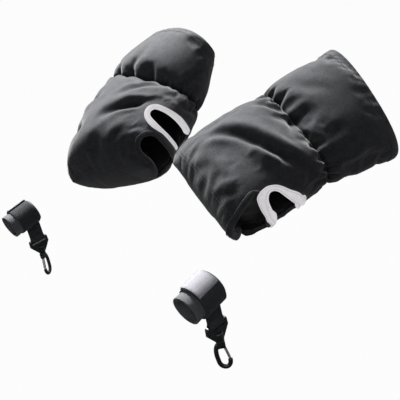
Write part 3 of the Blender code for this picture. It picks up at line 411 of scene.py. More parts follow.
def tube_faces(rings, count):
    """Quads between rings of points, and both end faces."""
    total = rings * count
    return ring_faces(rings, count, False) + [list(range(count))[::-1], list(range(total - count, total))]


def cap_faces(first, columns):
    """Faces that close a flat ring of points across its width."""
    faces = []
    for k in range(columns // 2):
        ring = [first + k, first + k + 1, first + (columns - k - 1) % columns, first + (columns - k) % columns]
        faces.append([v for i, v in enumerate(ring) if v not in ring[:i]])
    return faces


def solid(name, verts, faces, side, material, smooth=True):
    """A mesh object from points on the left side; side -1 mirrors it. Faces end up outwards."""
    mesh = bpy.data.meshes.new(name)
    points = np.asarray(verts, float).reshape(-1, 3) * (side, 1, 1)
    mesh.from_pydata(points.tolist(), [], [tuple(face) for face in faces])
    work = bmesh.new()
    work.from_mesh(mesh)
    bmesh.ops.recalc_face_normals(work, faces=work.faces)
    if work.calc_volume(signed=True) < 0:
        bmesh.ops.reverse_faces(work, faces=work.faces)
    work.to_mesh(mesh)
    work.free()
    mesh.polygons.foreach_set("use_smooth", [smooth] * len(mesh.polygons))
    if material:
        mesh.materials.append(material)
    return linked(name, mesh)


def settle(thing):
    """The object's modifiers become its own mesh."""
    bpy.context.view_layer.update()
    shape = bpy.data.meshes.new_from_object(thing.evaluated_get(bpy.context.evaluated_depsgraph_get()))
    thing.modifiers.clear()
    old = thing.data
    thing.data = shape
    bpy.data.meshes.remove(old)
    return thing


def slot_outline(shape, outer_side):
    """Places and turns round a side slot's edge, from its front foot to its rear foot."""
    if outer_side in shape.slots:
        return shape.slots[outer_side]
    ahead, high = bar_crossing(shape, outer_side)
    foot = shape.flap_top + 0.0015
    edge = slot_edges[shape.side, outer_side]
    marks = [(ahead + x, high + z) for x, z in edge if high + z > foot + 0.004]
    marks = [(marks[0][0], foot)] + marks + [(marks[-1][0] + 0.002, foot)]
    smooth = curved(np.array(marks), 4)
    shape.slots[outer_side] = np.array([shape.find(x, z, outer_side) for x, z in smooth])
    return shape.slots[outer_side]


def bar_crossing(shape, outer_side):
    """How far ahead and up the bar's axis passes the side wall."""
    width = shape.axes[0][0]
    out = unit(width - shape.hand * (width @ shape.hand))
    goal = shape.pose["half_widths"][0] - 0.00825
    goal = goal if outer_side else -goal
    reach = (bar_line - shape.centre) @ out
    for i in range(len(bar_line) - 1):
        if reach[i] <= goal <= reach[i + 1]:
            mix = (goal - reach[i]) / (reach[i + 1] - reach[i])
            return shape.ahead_up(bar_line[i] * (1 - mix) + bar_line[i + 1] * mix)
    return shape.ahead_up(bar_line[0])


common_edge = ((0.033, -0.024), (0.032, -0.008), (0.033, 0.006), (0.037, 0.014), (0.044, 0.018),
               (0.054, 0.018), (0.064, 0.013), (0.072, 0.002), (0.078, -0.012), (0.081, -0.026))
broad_edge = ((0.0385, -0.028), (0.0347, -0.018), (0.0307, -0.0093), (0.0290, -0.0007), (0.0288, 0.0090),
              (0.0320, 0.0155), (0.0385, 0.0193), (0.0469, 0.0188), (0.0537, 0.0142), (0.0595, 0.0047),
              (0.0655, -0.0053), (0.0715, -0.0153), (0.0780, -0.0253))
tall_edge = ((0.0385, -0.040), (0.0372, -0.026), (0.0365, -0.0114), (0.0364, -0.0032), (0.0371, 0.0047),
             (0.0391, 0.0125), (0.0419, 0.0186), (0.0462, 0.0240), (0.0540, 0.0268), (0.0630, 0.0255),
             (0.0695, 0.0210), (0.0712, 0.0125), (0.0718, 0.0025), (0.0722, -0.0090), (0.0735, -0.0255),
             (0.0760, -0.0435))
slot_edges = {(1, True): broad_edge, (1, False): common_edge,
              (-1, True): common_edge, (-1, False): tall_edge}

# Folds of the cloth: marks as place along the muff and turn round it, then depth and width.
# A depth below zero is a soft bulge beside the fold; a depth above zero is a groove that also gets painted shade
# in the cloth's colour.
folds = {
    1: (
        ((0.30, 7.6), (0.40, 7.0), (0.48, 6.4), (0.58, 5.4), (0.68, 4.2), (0.80, 2.5), 0.0085, 0.0080),
        ((0.34, 6.2), (0.46, 5.5), (0.56, 4.6), (0.66, 3.4), -0.0035, 0.0150),
        ((0.50, 7.6), (0.60, 6.6), (0.72, 5.0), (0.82, 3.6), -0.0040, 0.0130),
        ((0.80, 8.4), (0.87, 7.7), (0.94, 6.9), 0.0060, 0.0060),
        ((0.86, 5.4), (0.93, 5.9), (0.985, 6.2), 0.0040, 0.0050),
        ((0.02, 6.9), (0.10, 6.2), (0.18, 5.4), 0.0022, 0.0060),
        ((0.05, 4.4), (0.15, 3.8), (0.28, 3.4), 0.0030, 0.0070),
        ((0.22, 3.1), (0.34, 2.3), (0.42, 1.7), 0.0030, 0.0060),
        ((0.16, 2.3), (0.26, 1.6), 0.0026, 0.0060),
        ((0.80, 1.0), (0.88, 0.2), (0.95, -0.6), 0.0035, 0.0060),
        ((0.78, 10.4), (0.86, 11.4), (0.92, 12.4), 0.0040, 0.0070),
        ((0.60, 17.0), (0.72, 18.4), (0.84, 19.4), 0.0040, 0.0080),
        ((1.20, 8.8), (1.34, 7.4), (1.50, 6.6), 0.0016, 0.0090),
        ((1.16, 4.0), (1.26, 4.5), (1.40, 4.6), 0.0022, 0.0080),
        ((1.30, 12.0), (1.45, 13.5), (1.60, 14.6), 0.0026, 0.0090),
        ((1.20, 17.4), (1.36, 18.6), (1.52, 19.2), 0.0028, 0.0090),
    ),
    -1: (
        ((0.38, 5.9), (0.46, 6.4), (0.543, 7.0), (0.60, 7.9), (0.63, 8.8), 0.0085, 0.0070),
        ((0.46, 5.2), (0.58, 5.9), (0.68, 7.0), -0.0035, 0.0130),
        ((0.62, 5.9), (0.74, 6.1), (0.83, 6.5), (0.90, 7.4), 0.0050, 0.0060),
        ((0.60, 2.2), (0.66, 3.0), (0.70, 4.0), 0.0070, 0.0080),
        ((0.52, 2.8), (0.56, 3.8), -0.0030, 0.0110),
        ((0.30, 2.0), (0.34, 3.0), (0.36, 3.8), 0.0050, 0.0070),
        ((0.10, 6.9), (0.20, 7.9), (0.24, 8.9), 0.0030, 0.0070),
        ((0.16, 10.2), (0.26, 10.9), (0.30, 11.6), 0.0040, 0.0060),
        ((0.76, 10.2), (0.84, 11.2), (0.92, 12.2), 0.0050, 0.0070),
        ((0.62, 14.0), (0.74, 15.2), (0.86, 16.0), 0.0040, 0.0080),
        ((0.62, 20.0), (0.74, 21.0), (0.86, 21.6), 0.0040, 0.0080),
        ((1.04, 8.2), (1.16, 9.2), (1.40, 10.5), (1.55, 11.1), 0.0030, 0.0050),
        ((1.16, 4.6), (1.30, 5.2), (1.46, 5.3), 0.0022, 0.0090),
        ((1.22, 14.0), (1.38, 15.0), (1.54, 15.6), 0.0030, 0.0090),
        ((1.18, 1.2), (1.32, 1.8), (1.48, 1.9), 0.0028, 0.0080),
    ),
}
# Gathers at the wrist seam: turn, depth, width and how far they run into the cuff and the hand;
# each gather also gets painted shade in the cloth's colour
gathers = {
    1: ((7.9, 0.0085, 0.0048, 0.16, 0.10), (6.15, 0.0090, 0.0052, 0.20, 0.08),
        (9.2, 0.0070, 0.0044, 0.10, 0.12), (5.1, 0.0050, 0.0040, 0.08, 0.10),
        (4.0, 0.0060, 0.0045, 0.12, 0.07), (2.9, 0.0045, 0.0040, 0.08, 0.10),
        (1.6, 0.0065, 0.0048, 0.14, 0.09), (0.3, 0.0055, 0.0045, 0.11, 0.12),
        (10.6, 0.0065, 0.0050, 0.14, 0.10), (12.1, 0.0055, 0.0045, 0.10, 0.12),
        (13.4, 0.0070, 0.0048, 0.15, 0.09), (14.8, 0.0050, 0.0044, 0.10, 0.12),
        (16.1, 0.0070, 0.0050, 0.16, 0.10), (17.5, 0.0060, 0.0045, 0.11, 0.13),
        (18.8, 0.0070, 0.0048, 0.15, 0.10), (20.2, 0.0055, 0.0045, 0.10, 0.12),
        (21.5, 0.0065, 0.0048, 0.14, 0.10), (22.8, 0.0055, 0.0042, 0.10, 0.10)),
    -1: ((3.1, 0.0085, 0.0050, 0.17, 0.08), (4.7, 0.0090, 0.0052, 0.21, 0.09),
         (6.15, 0.0090, 0.0052, 0.21, 0.08), (7.4, 0.0060, 0.0042, 0.10, 0.10),
         (8.8, 0.0065, 0.0045, 0.12, 0.14), (10.1, 0.0055, 0.0044, 0.10, 0.10),
         (11.6, 0.0060, 0.0046, 0.12, 0.12), (12.9, 0.0060, 0.0046, 0.14, 0.09),
         (14.3, 0.0065, 0.0048, 0.12, 0.12), (15.6, 0.0055, 0.0045, 0.14, 0.10),
         (17.0, 0.0070, 0.0050, 0.13, 0.12), (18.4, 0.0060, 0.0046, 0.15, 0.10),
         (19.7, 0.0065, 0.0048, 0.12, 0.12), (21.1, 0.0055, 0.0045, 0.14, 0.10),
         (22.4, 0.0065, 0.0048, 0.12, 0.10), (23.7, 0.0055, 0.0045, 0.15, 0.09),
         (1.5, 0.0065, 0.0048, 0.13, 0.10)),
}


def near_line(points, line):
    """Distance of each point from a bent line, and how far along it is, 0 to 1."""
    best = np.full(len(points), np.inf)
    along = np.zeros(len(points))
    for i, (a, b) in enumerate(zip(line[:-1], line[1:])):
        part = b - a
        t = np.clip(((points - a) @ part) / (part @ part), 0, 1)
        far = np.linalg.norm(points - a - t[:, None] * part, axis=1)
        closer = far < best
        best = np.where(closer, far, best)
        along = np.where(closer, (i + t) / (len(line) - 1), along)
    return best, along


def place_at(shape, turn, ahead):
    """Place along the muff where a line at this turn is so far ahead."""
    low, high = np.zeros_like(ahead), np.ones_like(ahead)
    for _ in range(24):
        middle = (low + high) / 2
        less = shape.ahead_up(shape.plain(middle, turn, 0.0))[0] < ahead
        low, high = np.where(less, middle, low), np.where(less, high, middle)
    return low


def simulate_cloth(shape):
    """Lets the padded cloth swell and pucker between its seams, and keeps how far it moved and a mask of painted
    shade for its folds.
    """
    hand_count, cuff_count, columns = 38, 34, AROUND
    hand_places = 1 - np.linspace(1, 0, hand_count) ** 1.25
    cuff_places = 1 + np.linspace(0, 1, cuff_count)[1:] ** 1.15
    places = np.concatenate((hand_places, cuff_places))
    turns = np.arange(columns) * TURNS / columns
    rows = len(places)
    base = shape.plain(places[:, None], turns[None, :], 0.0)
    flat = base.reshape(-1, 3)
    across = np.roll(base, -1, 1) - np.roll(base, 1, 1)
    down = np.gradient(base, axis=0)
    out = unit(np.cross(across, down) + 1e-12)
    if (out[rows // 2] * (base[rows // 2] - base[rows // 2].mean(0))).sum() < 0:
        out = -out

    # The cloth is held at its seams, round the openings and along the flap's fold.
    fold_turns = np.linspace(13, 23, 41)
    fold_places = place_at(shape, fold_turns, np.full(41, shape.fold_ahead))
    held_lines = [(bar_line, 0.034, 0.010), (shape.plain(fold_places, fold_turns, 0.0), 0.016, 0.008)]
    for outer_side in (True, False):
        marks = slot_outline(shape, outer_side)
        held_lines.append((shape.plain(marks[:, 0], marks[:, 1], 0.0), 0.026, 0.010))
    hold = np.zeros((rows, columns))
    hold[0] = hold[-1] = hold[hand_count - 1] = 1.0
    for line, reach, fade in held_lines:
        far, _ = near_line(flat, line)
        hold = np.maximum(hold, np.clip((reach - far) / fade, 0, 1).reshape(rows, columns))

    whole = 2 * math.pi * turns / TURNS
    wave = np.cos(whole * 19 + 1.3 * np.sin(whole * 3))
    near_wrist = np.exp(-np.abs(places - 1.0) / 0.09) * np.clip(np.abs(places - 1.0) / 0.02, 0, 1)
    start = base + out * (0.0016 * near_wrist[:, None] * wave[None, :])[..., None]
    moved = start - base
    last_step = 22
    faces = ring_faces(rows, columns, False) + [face[::-1] for face in cap_faces(0, columns)]
    faces += cap_faces((rows - 1) * columns, columns)
    pouch = solid("cloth_work", start.reshape(-1, 3), faces, 1, None)
    group = pouch.vertex_groups.new(name="held")
    weights = np.round(hold.reshape(-1), 1)
    for value in np.unique(weights[weights > 0]):
        group.add(np.flatnonzero(weights == value).tolist(), float(value), "REPLACE")
    swell = pouch.modifiers.new("cloth", "CLOTH")
    for key, value in (("vertex_group_mass", "held"), ("quality", 5), ("mass", 0.25),
                       ("tension_stiffness", 12), ("compression_stiffness", 12), ("shear_stiffness", 4),
                       ("bending_stiffness", 0.25), ("use_pressure", True),
                       ("uniform_pressure_force", 2.0), ("shrink_min", -0.035)):
        setattr(swell.settings, key, value)
    swell.settings.effector_weights.gravity = 0
    swell.point_cache.frame_start, swell.point_cache.frame_end = 1, last_step
    for step in range(1, last_step + 1):
        bpy.context.scene.frame_set(step)
    settle(pouch)
    now = np.empty(len(pouch.data.vertices) * 3)
    pouch.data.vertices.foreach_get("co", now)
    moved = now.reshape(rows, columns, 3) - base
    bpy.context.scene.frame_set(1)
    bpy.data.objects.remove(pouch, do_unlink=True)
    far = np.linalg.norm(moved, axis=-1, keepdims=True)
    farthest = 0.0065
    moved *= np.minimum(1, farthest / np.maximum(far, 1e-9))

    # Dents for the folds and gathers, and a mask of painted shade for the cloth's colour down in the grooves and
    # gathers.
    dent = np.zeros(rows * columns)
    fold_shade = np.zeros(rows * columns)
    full_depth = 0.008
    for *line, depth, width in folds[shape.side]:
        marks = np.array(line)
        path = shape.plain(marks[:, 0], marks[:, 1], 0.0)
        far, along = near_line(flat, path)
        fade = np.sin(np.pi * np.clip(along * 0.94 + 0.03, 0, 1)) ** 0.6
        groove = fade * np.exp(-(far / width) ** 2)
        dent -= depth * groove
        if depth > 0:
            dent += 0.30 * depth * fade * np.exp(-((far - 1.9 * width) / width) ** 2)
            fold_shade = np.maximum(fold_shade, groove ** 2 * min(depth / full_depth, 1.0))
    for turn, depth, width, in_cuff, in_hand in gathers[shape.side]:
        path = shape.plain(np.array((1.0 - in_hand, 1.0, 1.0 + in_cuff)),
                           np.array((turn + 0.25, turn, turn + 0.12)), 0.0)
        far, along = near_line(flat, path)
        off_middle = np.abs(along - 0.5)
        groove = np.exp(-(far / (width * (0.45 + 0.75 * (1 - 2 * off_middle)))) ** 2)
        groove *= np.clip(1.25 - 2 * off_middle ** 1.2, 0, 1)
        dent -= depth * groove
        fold_shade = np.maximum(fold_shade, groove ** 2 * depth / full_depth)
    # Painted shade also lies all round the wrist valley.
    wrist = np.exp(-(np.abs(places - 1.0) / 0.035) ** 2)[:, None]
    keep = 1 - hold
    keep[hand_count - 1] = 0.8
    moved += out * (dent.reshape(rows, columns) * keep)[..., None]
    shape.fold_shade = (places, columns, np.maximum(fold_shade.reshape(rows, columns) * keep, 0.9 * wrist)[..., None])
    shape.moved = (places, columns, moved)


def layer(shape, name, loop, material, cap_rows=()):
    """A closed layer: rings of points for (place, depth) pairs; cap_rows close the pouch's front."""
    turns = np.arange(AROUND) * TURNS / AROUND
    rings = [shape.points(np.full(AROUND, place), turns, depth) for place, depth in loop]
    faces = ring_faces(len(rings), AROUND, not cap_rows)
    for row in cap_rows:
        faces += cap_faces(row * AROUND, AROUND)
    made = solid(name, np.concatenate(rings), faces, shape.side, material)
    # The point attribute carries the mask of painted shade in the folds to the cloth's colour.
    mask = made.data.attributes.new("fold_shade", "FLOAT", "POINT")
    values = [shape.read(shape.fold_shade, np.full(AROUND, place), turns)[:, 0] for place, _ in loop]
    mask.data.foreach_set("value", np.concatenate(values).astype(np.float32))
    return smoother(made)


def smoother(thing):
    extra = thing.modifiers.new("smooth", "SUBSURF")
    extra.levels = extra.render_levels = 1
    return settle(thing)


def cut(thing, tools, operation="DIFFERENCE"):
    """Cuts with closed solids."""
    for tool in tools:
        step = thing.modifiers.new("cut", "BOOLEAN")
        step.solver = "MANIFOLD"
        step.operation = operation
        step.object = tool
    return settle(thing)


def prism(name, near, far, side):
    """A closed prism between two equal outlines, for cutting."""
    count = len(near)
    verts = list(near) + [np.mean(near, 0)] + list(far) + [np.mean(far, 0)]
    faces = []
    for i in range(count):
        j = (i + 1) % count
        faces += [(i, j, count), (j + count + 1, i + count + 1, 2 * count + 1),
                  (j, i, i + count + 1), (j, i + count + 1, j + count + 1)]
    return solid(name, verts, faces, side, None, False)


def last_before(shape, goal):
    """The bar's last knot before a distance from the muff's middle, and all the knots' distances."""
    reach = (bar_line - shape.centre) @ shape.level
    return max(i for i in range(len(bar_line)) if reach[i] < goal), reach


def bar_axes(shape, knots):
    """The axes across the bar and up from it, at each knot."""
    axes = []
    for i in range(len(knots)):
        along = unit(knots[min(i + 1, len(knots) - 1)] - knots[max(i - 1, 0)])
        high = unit(shape.drop - along * (along @ shape.drop))
        axes.append((np.cross(high, along), high))
    return axes


def side_cutters(shape):
    """Prisms for both bar bays, both slots and the flap, and the flap's own box."""
    side, level, drop = shape.side, shape.level, shape.drop
    tools = {}
    for outer_side, label in ((True, "outer"), (False, "inner")):
        marks = slot_outline(shape, outer_side)
        foot = shape.flap_top - 0.004
        ends = [shape.ahead_up(shape.plain(*mark, 0.0)) for mark in (marks[-1], marks[0])]
        marks = np.vstack((marks, [shape.find(end[0], foot, outer_side) for end in ends]))
        tools["slot_" + label] = prism("cut_slot", shape.plain(marks[:, 0], marks[:, 1], -0.014),
                                       shape.plain(marks[:, 0], marks[:, 1], 0.022), side)
        goal = shape.bay_start if outer_side else -shape.bay_start
        first, reach = last_before(shape, goal)
        mix = (goal - reach[first]) / (reach[first + 1] - reach[first])
        cut_point = bar_line[first] * (1 - mix) + bar_line[first + 1] * mix
        if outer_side:
            line = [cut_point, *bar_line[first + 1:first + 5]]
        else:
            line = [bar_line[first] - np.array((shape.bay_start, 0, 0)), bar_line[first], cut_point]
        rings = []
        for point, (across, high) in zip(line, bar_axes(shape, line)):
            arch = [point + across * shape.bay_radius * math.cos(a) + high * shape.bay_radius * math.sin(a)
                    for a in np.linspace(0, math.pi, 15)]
            rings.append(arch + [arch[-1] - drop * 0.09, arch[0] - drop * 0.09])
        count = len(rings[0])
        verts = np.array([p for ring in rings for p in ring] + [np.mean(rings[0], 0), np.mean(rings[-1], 0)])
        faces = []
        for a, b, c, d in ring_faces(len(rings), count, False):
            faces += [(a, b, c), (a, c, d)]
        last = (len(rings) - 1) * count
        for i in range(count):
            j = (i + 1) % count
            faces += [(j, i, len(verts) - 2), (last + i, last + j, len(verts) - 1)]
        tools["bay_" + label] = solid("cut_bay", verts, faces, side, None, False)
    far_out, seam_gap, fold_room = 0.2, 0.0003, 0.0010
    for label, inset, front_room, rear_room in (("opening", -seam_gap, 0.0, 0.0),
                                                ("keep", seam_gap, fold_room, shape.pose["swing_room"])):
        corners = [shape.centre + shape.hand * x + level * y + drop * z
                   for x in (shape.fold_ahead + inset + front_room, shape.flap_rear - inset - rear_room)
                   for y in (-far_out, far_out) for z in (-far_out, shape.flap_top - inset)]
        faces = [(0, 1, 3, 2), (4, 6, 7, 5), (0, 4, 5, 1), (2, 3, 7, 6), (0, 2, 6, 4), (1, 5, 7, 3)]
        tools[label] = solid("cut_flap", corners, faces, side, None, False)
    return tools


def fit(piece, body, slot_name, *nodes):
    """Puts a piece on its body and hides the solids that it stands for; slot_name is not used."""
    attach(piece, body)
    if nodes:
        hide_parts(*nodes)


def there_and_back(places, first_depth, second_depth):
    return [(p, first_depth) for p in places] + [(p, second_depth) for p in places[::-1]]


shapes = {"left": MuffShape(left_pose), "right": MuffShape(right_pose)}
for prefix, shape in shapes.items():
    muff = prefix + "_muff"
    simulate_cloth(shape)
    tools = side_cutters(shape)
    opened = [tools[key] for key in ("opening", "bay_outer", "bay_inner", "slot_outer", "slot_inner")]

    # Hand part: softshell over wadding, one padded skin four millimetres thick, with the
    # fleece lining as a second skin inside it. Both are sewn together at every opening.
    # The flap's cloth runs on from the pouch's front, so it bends over the stretch behind the fold.
    hand_places = 1 - np.linspace(1, 0.0015, 40) ** 1.25
    lining_places = [p for p in hand_places if p < 0.98] + [0.984]
    sewn = []
    for kind, material, slot_name, loop, nodes in (
            ("cover", softshell, "softshell", there_and_back(hand_places, 0.0, 0.0040), ("shell", "wadding")),
            ("fleece", fleece, "fleece", there_and_back(lining_places, 0.0043, 0.0082), ("lining",))):
        hand = layer(shape, prefix + "_hand_" + kind, loop, material, (0, len(loop) - 1))
        flap = linked(prefix + "_flap_" + kind, hand.data.copy())
        cut(hand, opened)
        cut(flap, [tools["keep"]], "INTERSECT")
        cut(flap, [tools["slot_outer"], tools["slot_inner"]])
        sewn.append(((hand, flap), slot_name, nodes))
    for k, part in enumerate(("_hand_", "_flap_")):
        for pieces, slot_name, nodes in sewn:
            if part == "_flap_":
                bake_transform(pieces[k])
            else:
                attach(pieces[k], muff)
            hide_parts(*(prefix + part + node_name for node_name in nodes))

    # Cuff: the same quilted cloth, turned in at the mouth as a deep hem, with the fleece
    # starting behind it. The wrist seam gathers the cloth in small deep folds.
    hem_end = 1.86
    cuff_places = 1 + np.linspace(0.004, 1, 36) ** 1.15
    loop = [(p, 0.0) for p in cuff_places] + [(2.004, 0.0035), (2.0, 0.0082)]
    loop += [(p, 0.0088) for p in cuff_places[-2::-1] if p > hem_end] + [(hem_end, 0.0088), (hem_end, 0.0044)]
    loop += [(p, 0.0040) for p in cuff_places[::-1] if p < 1.97]
    cuff = layer(shape, prefix + "_cuff_cover", loop, softshell)
    inner_places = [1.014] + [p for p in cuff_places if 1.018 < p < 1.855] + [1.855]
    cuff_lining = layer(shape, prefix + "_cuff_fleece", there_and_back(inner_places, 0.0044, 0.0084), fleece)
    fit(cuff, muff, "softshell", prefix + "_cuff_shell", prefix + "_cuff_wadding")
    fit(cuff_lining, muff, "fleece", prefix + "_cuff_lining")

    # Wrist elastic: a flat woven band sewn round inside the seam, which closes it behind the covers.
    wrist_places = (0.9865, 0.999, 1.0115)
    wrist_band = layer(shape, prefix + "_wrist_elastic", there_and_back(wrist_places, 0.0046, 0.0080), elastic)
    fit(wrist_band, muff, "elastic", prefix + "_wrist_elastic")
    for tool in tools.values():
        bpy.data.objects.remove(tool, do_unlink=True)


def edge_band(shape, name, marks, outward_width, inward_width, thick, stand, material):
    """A folded tape that wraps the wall along an edge given as places and turns."""
    wall, half, place_step, turn_step = 0.0083, thick / 2, 0.004, 0.05
    places, turns = marks[:, 0], marks[:, 1]
    here = shape.plain(places, turns, 0.0)
    by_place = (shape.plain(places + place_step, turns, 0.0)
                - shape.plain(places - place_step, turns, 0.0)) / (2 * place_step)
    by_turn = (shape.plain(places, turns + turn_step, 0.0)
               - shape.plain(places, turns - turn_step, 0.0)) / (2 * turn_step)
    along = unit(np.gradient(here, axis=0))
    away = unit(np.cross(unit(np.cross(by_place, by_turn)), along))
    away *= np.sign(((here - here.mean(0)) * away).sum(1) + 1e-9)[:, None]
    steps = np.array([np.linalg.lstsq(np.stack((a, b), 1), w, rcond=None)[0]
                      for a, b, w in zip(by_place, by_turn, away)])
    top, bottom = -stand - half, wall + stand + half
    rings = []
    for mark, step, wide in zip(marks, steps, np.broadcast_to(outward_width, len(marks))):
        line = [(wide * k / 6, top) for k in (6, 5, 4, 3, 2, 1)] + [(0.0006, top)]
        line += [(-0.0011, wall * 0.04), (-0.0014, wall * 0.5), (-0.0011, wall * 0.96), (0.0006, bottom)]
        line = np.array(line + [(inward_width * k / 3, bottom) for k in (1, 2, 3)])
        run = unit(np.gradient(line, axis=0))
        side = np.stack((-run[:, 1], run[:, 0]), 1) * half
        nose, tail = line[0] + run[0] * -half * 0.8, line[-1] + run[-1] * half * 0.8
        ring = np.concatenate((line + side, [tail], (line - side)[::-1], [nose]))
        rings.append([shape.points(mark[0] + step[0] * x, mark[1] + step[1] * x, d) for x, d in ring])
    tape = solid(name, rings, tube_faces(len(rings), len(rings[0])), shape.side, material)
    return smoother(tape), steps


def thread_line(shape, places, turns, lift=0.0007):
    """Points of a seam just above the cloth, as they lie on the finished side."""
    return shape.points(places, turns, -lift) * shape.mirror


seams = {}


def sew_beside(shape, body_and_shade, marks, steps, reaches, lift):
    """Adds seams that run beside an edge, each at its own reach from it."""
    for reach in reaches:
        at = marks + steps * np.reshape(reach, (-1, 1))
        seams.setdefault(body_and_shade, []).append(thread_line(shape, at[:, 0], at[:, 1], lift))


# Slot bindings: a wide light grey reflective tape folded over the edge of each side slot
# and sewn through the wall. The left muff's outer one is broad in front and behind.
slot_widths = {
    (1, True): ((0.0, 0.0075), (0.14, 0.0090), (0.29, 0.0088), (0.36, 0.0120), (0.43, 0.0145),
                (0.50, 0.0085), (0.57, 0.0068), (0.64, 0.0080), (0.71, 0.0110), (0.79, 0.0145),
                (0.86, 0.0155), (0.93, 0.0150), (1.0, 0.0125)),
    (1, False): ((0.0, 0.0100), (0.5, 0.0090), (1.0, 0.0100)),
    (-1, True): ((0.0, 0.0100), (0.5, 0.0095), (1.0, 0.0100)),
    (-1, False): ((0.0, 0.0060), (0.18, 0.0065), (0.24, 0.0060), (0.30, 0.0085), (0.35, 0.0112),
                  (0.41, 0.0112), (0.47, 0.0085), (0.53, 0.0060), (0.65, 0.0065), (0.76, 0.0075),
                  (0.88, 0.0090), (1.0, 0.0085)),
}
for prefix, shape in shapes.items():
    for outer_side, label in ((True, "outer"), (False, "inner")):
        marks = slot_outline(shape, outer_side)
        run = np.linspace(0, 1, len(marks))
        table = np.array(slot_widths[shape.side, outer_side])
        widths = np.interp(run, table[:, 0], table[:, 1]) + 0.0005 * np.sin(run * 23) * np.sin(run * 9 + 1)
        tape, steps = edge_band(shape, prefix + "_slot_tape_" + label, marks, widths, 0.006, 0.0011, 0.0008,
                                reflective)
        fit(tape, prefix + "_muff", "reflective", prefix + "_slot_binding_" + label)
        sew_beside(shape, (prefix + "_muff", "pale"), marks, steps, (0.0020, widths - 0.0018), 0.0023)

# Bar arches: where the bar leaves the muff the cloth is turned in round the arch and
# topstitched, so the edge is a soft dark roll.


def arch_outline(shape, outer_side):
    """Places and turns round a bar arch, from its front foot over the top to its rear foot."""
    sign = 1 if outer_side else -1
    goal = (shape.pose["half_widths"][0] - 0.004) * sign
    first, _ = last_before(shape, shape.bay_start * sign)
    knots = bar_line[first:first + 6]
    if not outer_side:
        before = bar_line[first] - np.array((shape.bay_start, 0, 0))
        knots = np.array((before, bar_line[first], bar_line[first + 1]))
    sides = bar_axes(shape, knots)
    foot = shape.flap_top + 0.0012
    offsets = [(1.0, -s) for s in np.linspace(0.052, 0.004, 13)]
    offsets += [(math.cos(a), math.sin(a)) for a in np.linspace(0, math.pi, 13)]
    offsets += [(-1.0, -s) for s in np.linspace(0.004, 0.052, 13)]
    middle = 0.0 if outer_side else TURNS / 2
    grid_place, grid_turn = np.meshgrid(np.linspace(0, 0.9, 91), middle + np.linspace(-5.6, 5.6, 91),
                                        indexing="ij")
    wall = shape.plain(grid_place, grid_turn, 0.0).reshape(-1, 3)
    found = []
    for x, z in offsets:
        lift = [shape.bay_radius * z * high if abs(x) < 1 or z > 0 else z * shape.drop for _, high in sides]
        if abs(x) == 1.0 and z > -0.001:
            lift = [np.zeros(3)] * len(knots)
        line = np.array([p + across * shape.bay_radius * x + up_part
                         for p, (across, _), up_part in zip(knots, sides, lift)])
        t = np.linspace(0, len(line) - 1, 160)
        low = np.minimum(t.astype(int), len(line) - 2)
        samples = line[low] + (t - low)[:, None] * (line[low + 1] - line[low])
        gap = ((samples[:, None, :] - wall[None, :, :]) ** 2).sum(-1)
        nearest = gap.min(1)
        good = np.argmin(nearest + 1e-7 * np.abs((samples - shape.centre) @ shape.level - goal))
        if nearest[good] > 0.003 ** 2:
            continue
        index = gap[good].argmin()
        close = samples[max(good - 3, 0):good + 4]

        def miss_of(points):
            return ((points[:, :, None, :] - close) ** 2).sum(-1).min(-1)

        place, turn = shape.narrowed(grid_place.flat[index], grid_turn.flat[index], (0.010, 0.13),
                                     np.linspace(-1, 1, 9), 5, 0.4, 0.002, miss_of)
        if shape.ahead_up(shape.plain(place, turn, 0.0))[1] > foot:
            found.append((place, turn))
    return np.array(found)


for prefix, shape in shapes.items():
    for outer_side, label in ((True, "outer"), (False, "inner")):
        marks = arch_outline(shape, outer_side)
        hem, steps = edge_band(shape, prefix + "_arch_hem_" + label, marks, 0.0070, 0.0060, 0.0009, 0.0001,
                               softshell)
        fit(hem, prefix + "_muff", "softshell")
        sew_beside(shape, (prefix + "_muff", "dark"), marks, steps, (0.0045, 0.0062), 0.0014)

# Closing tapes: a loop tape on the panel behind the flap and a longer hook tape on the flap
# that laps over it. Both are black woven tapes sewn down all round.
looped = cloth("loop_tape", (0.010, 0.010, 0.011), (0.030, 0.030, 0.033), 1500, 700, 0.8, 0.95, 0.3)
hooked = cloth("hook_tape", (0.012, 0.012, 0.013), (0.030, 0.030, 0.032), 2200, 900, 0.6, 0.6, 0.0)


def laid_tape(shape, name, rows, material):
    """A closed strip under the muff; rows list ahead, inner depth and outer depth."""
    wide, count = 27, 6 * (len(rows) - 1) + 1
    turns = np.linspace(16.06, 19.54, wide)
    fine = np.linspace(0, len(rows) - 1, count)
    ahead, inner, outer = (np.interp(fine, np.arange(len(rows)), column)[:, None] for column in np.array(rows).T)
    places = place_at(shape, turns[None, :], shape.flap_rear + ahead + 0 * turns[None, :])
    worn = np.full((count, wide), 0.0002)
    worn[1:-1, 1:-1] = 0.0
    top = shape.points(places, turns[None, :], outer + worn)
    low = shape.points(places, turns[None, :], inner - worn)
    half = count * wide
    index = np.arange(half).reshape(count, wide)
    quads = np.stack((index[:-1, :-1], index[:-1, 1:], index[1:, 1:], index[1:, :-1]), -1).reshape(-1, 4)
    faces = np.concatenate((quads, quads[:, ::-1] + half), 1).reshape(-1, 4).tolist()
    edge = np.concatenate((index[0], index[1:, -1], index[-1, -2::-1], index[-2:0:-1, 0]))
    after = np.roll(edge, -1)
    faces += np.stack((after, edge, edge + half, after + half), -1).tolist()
    return solid(name, np.concatenate((top, low)), faces, shape.side, material), places, turns


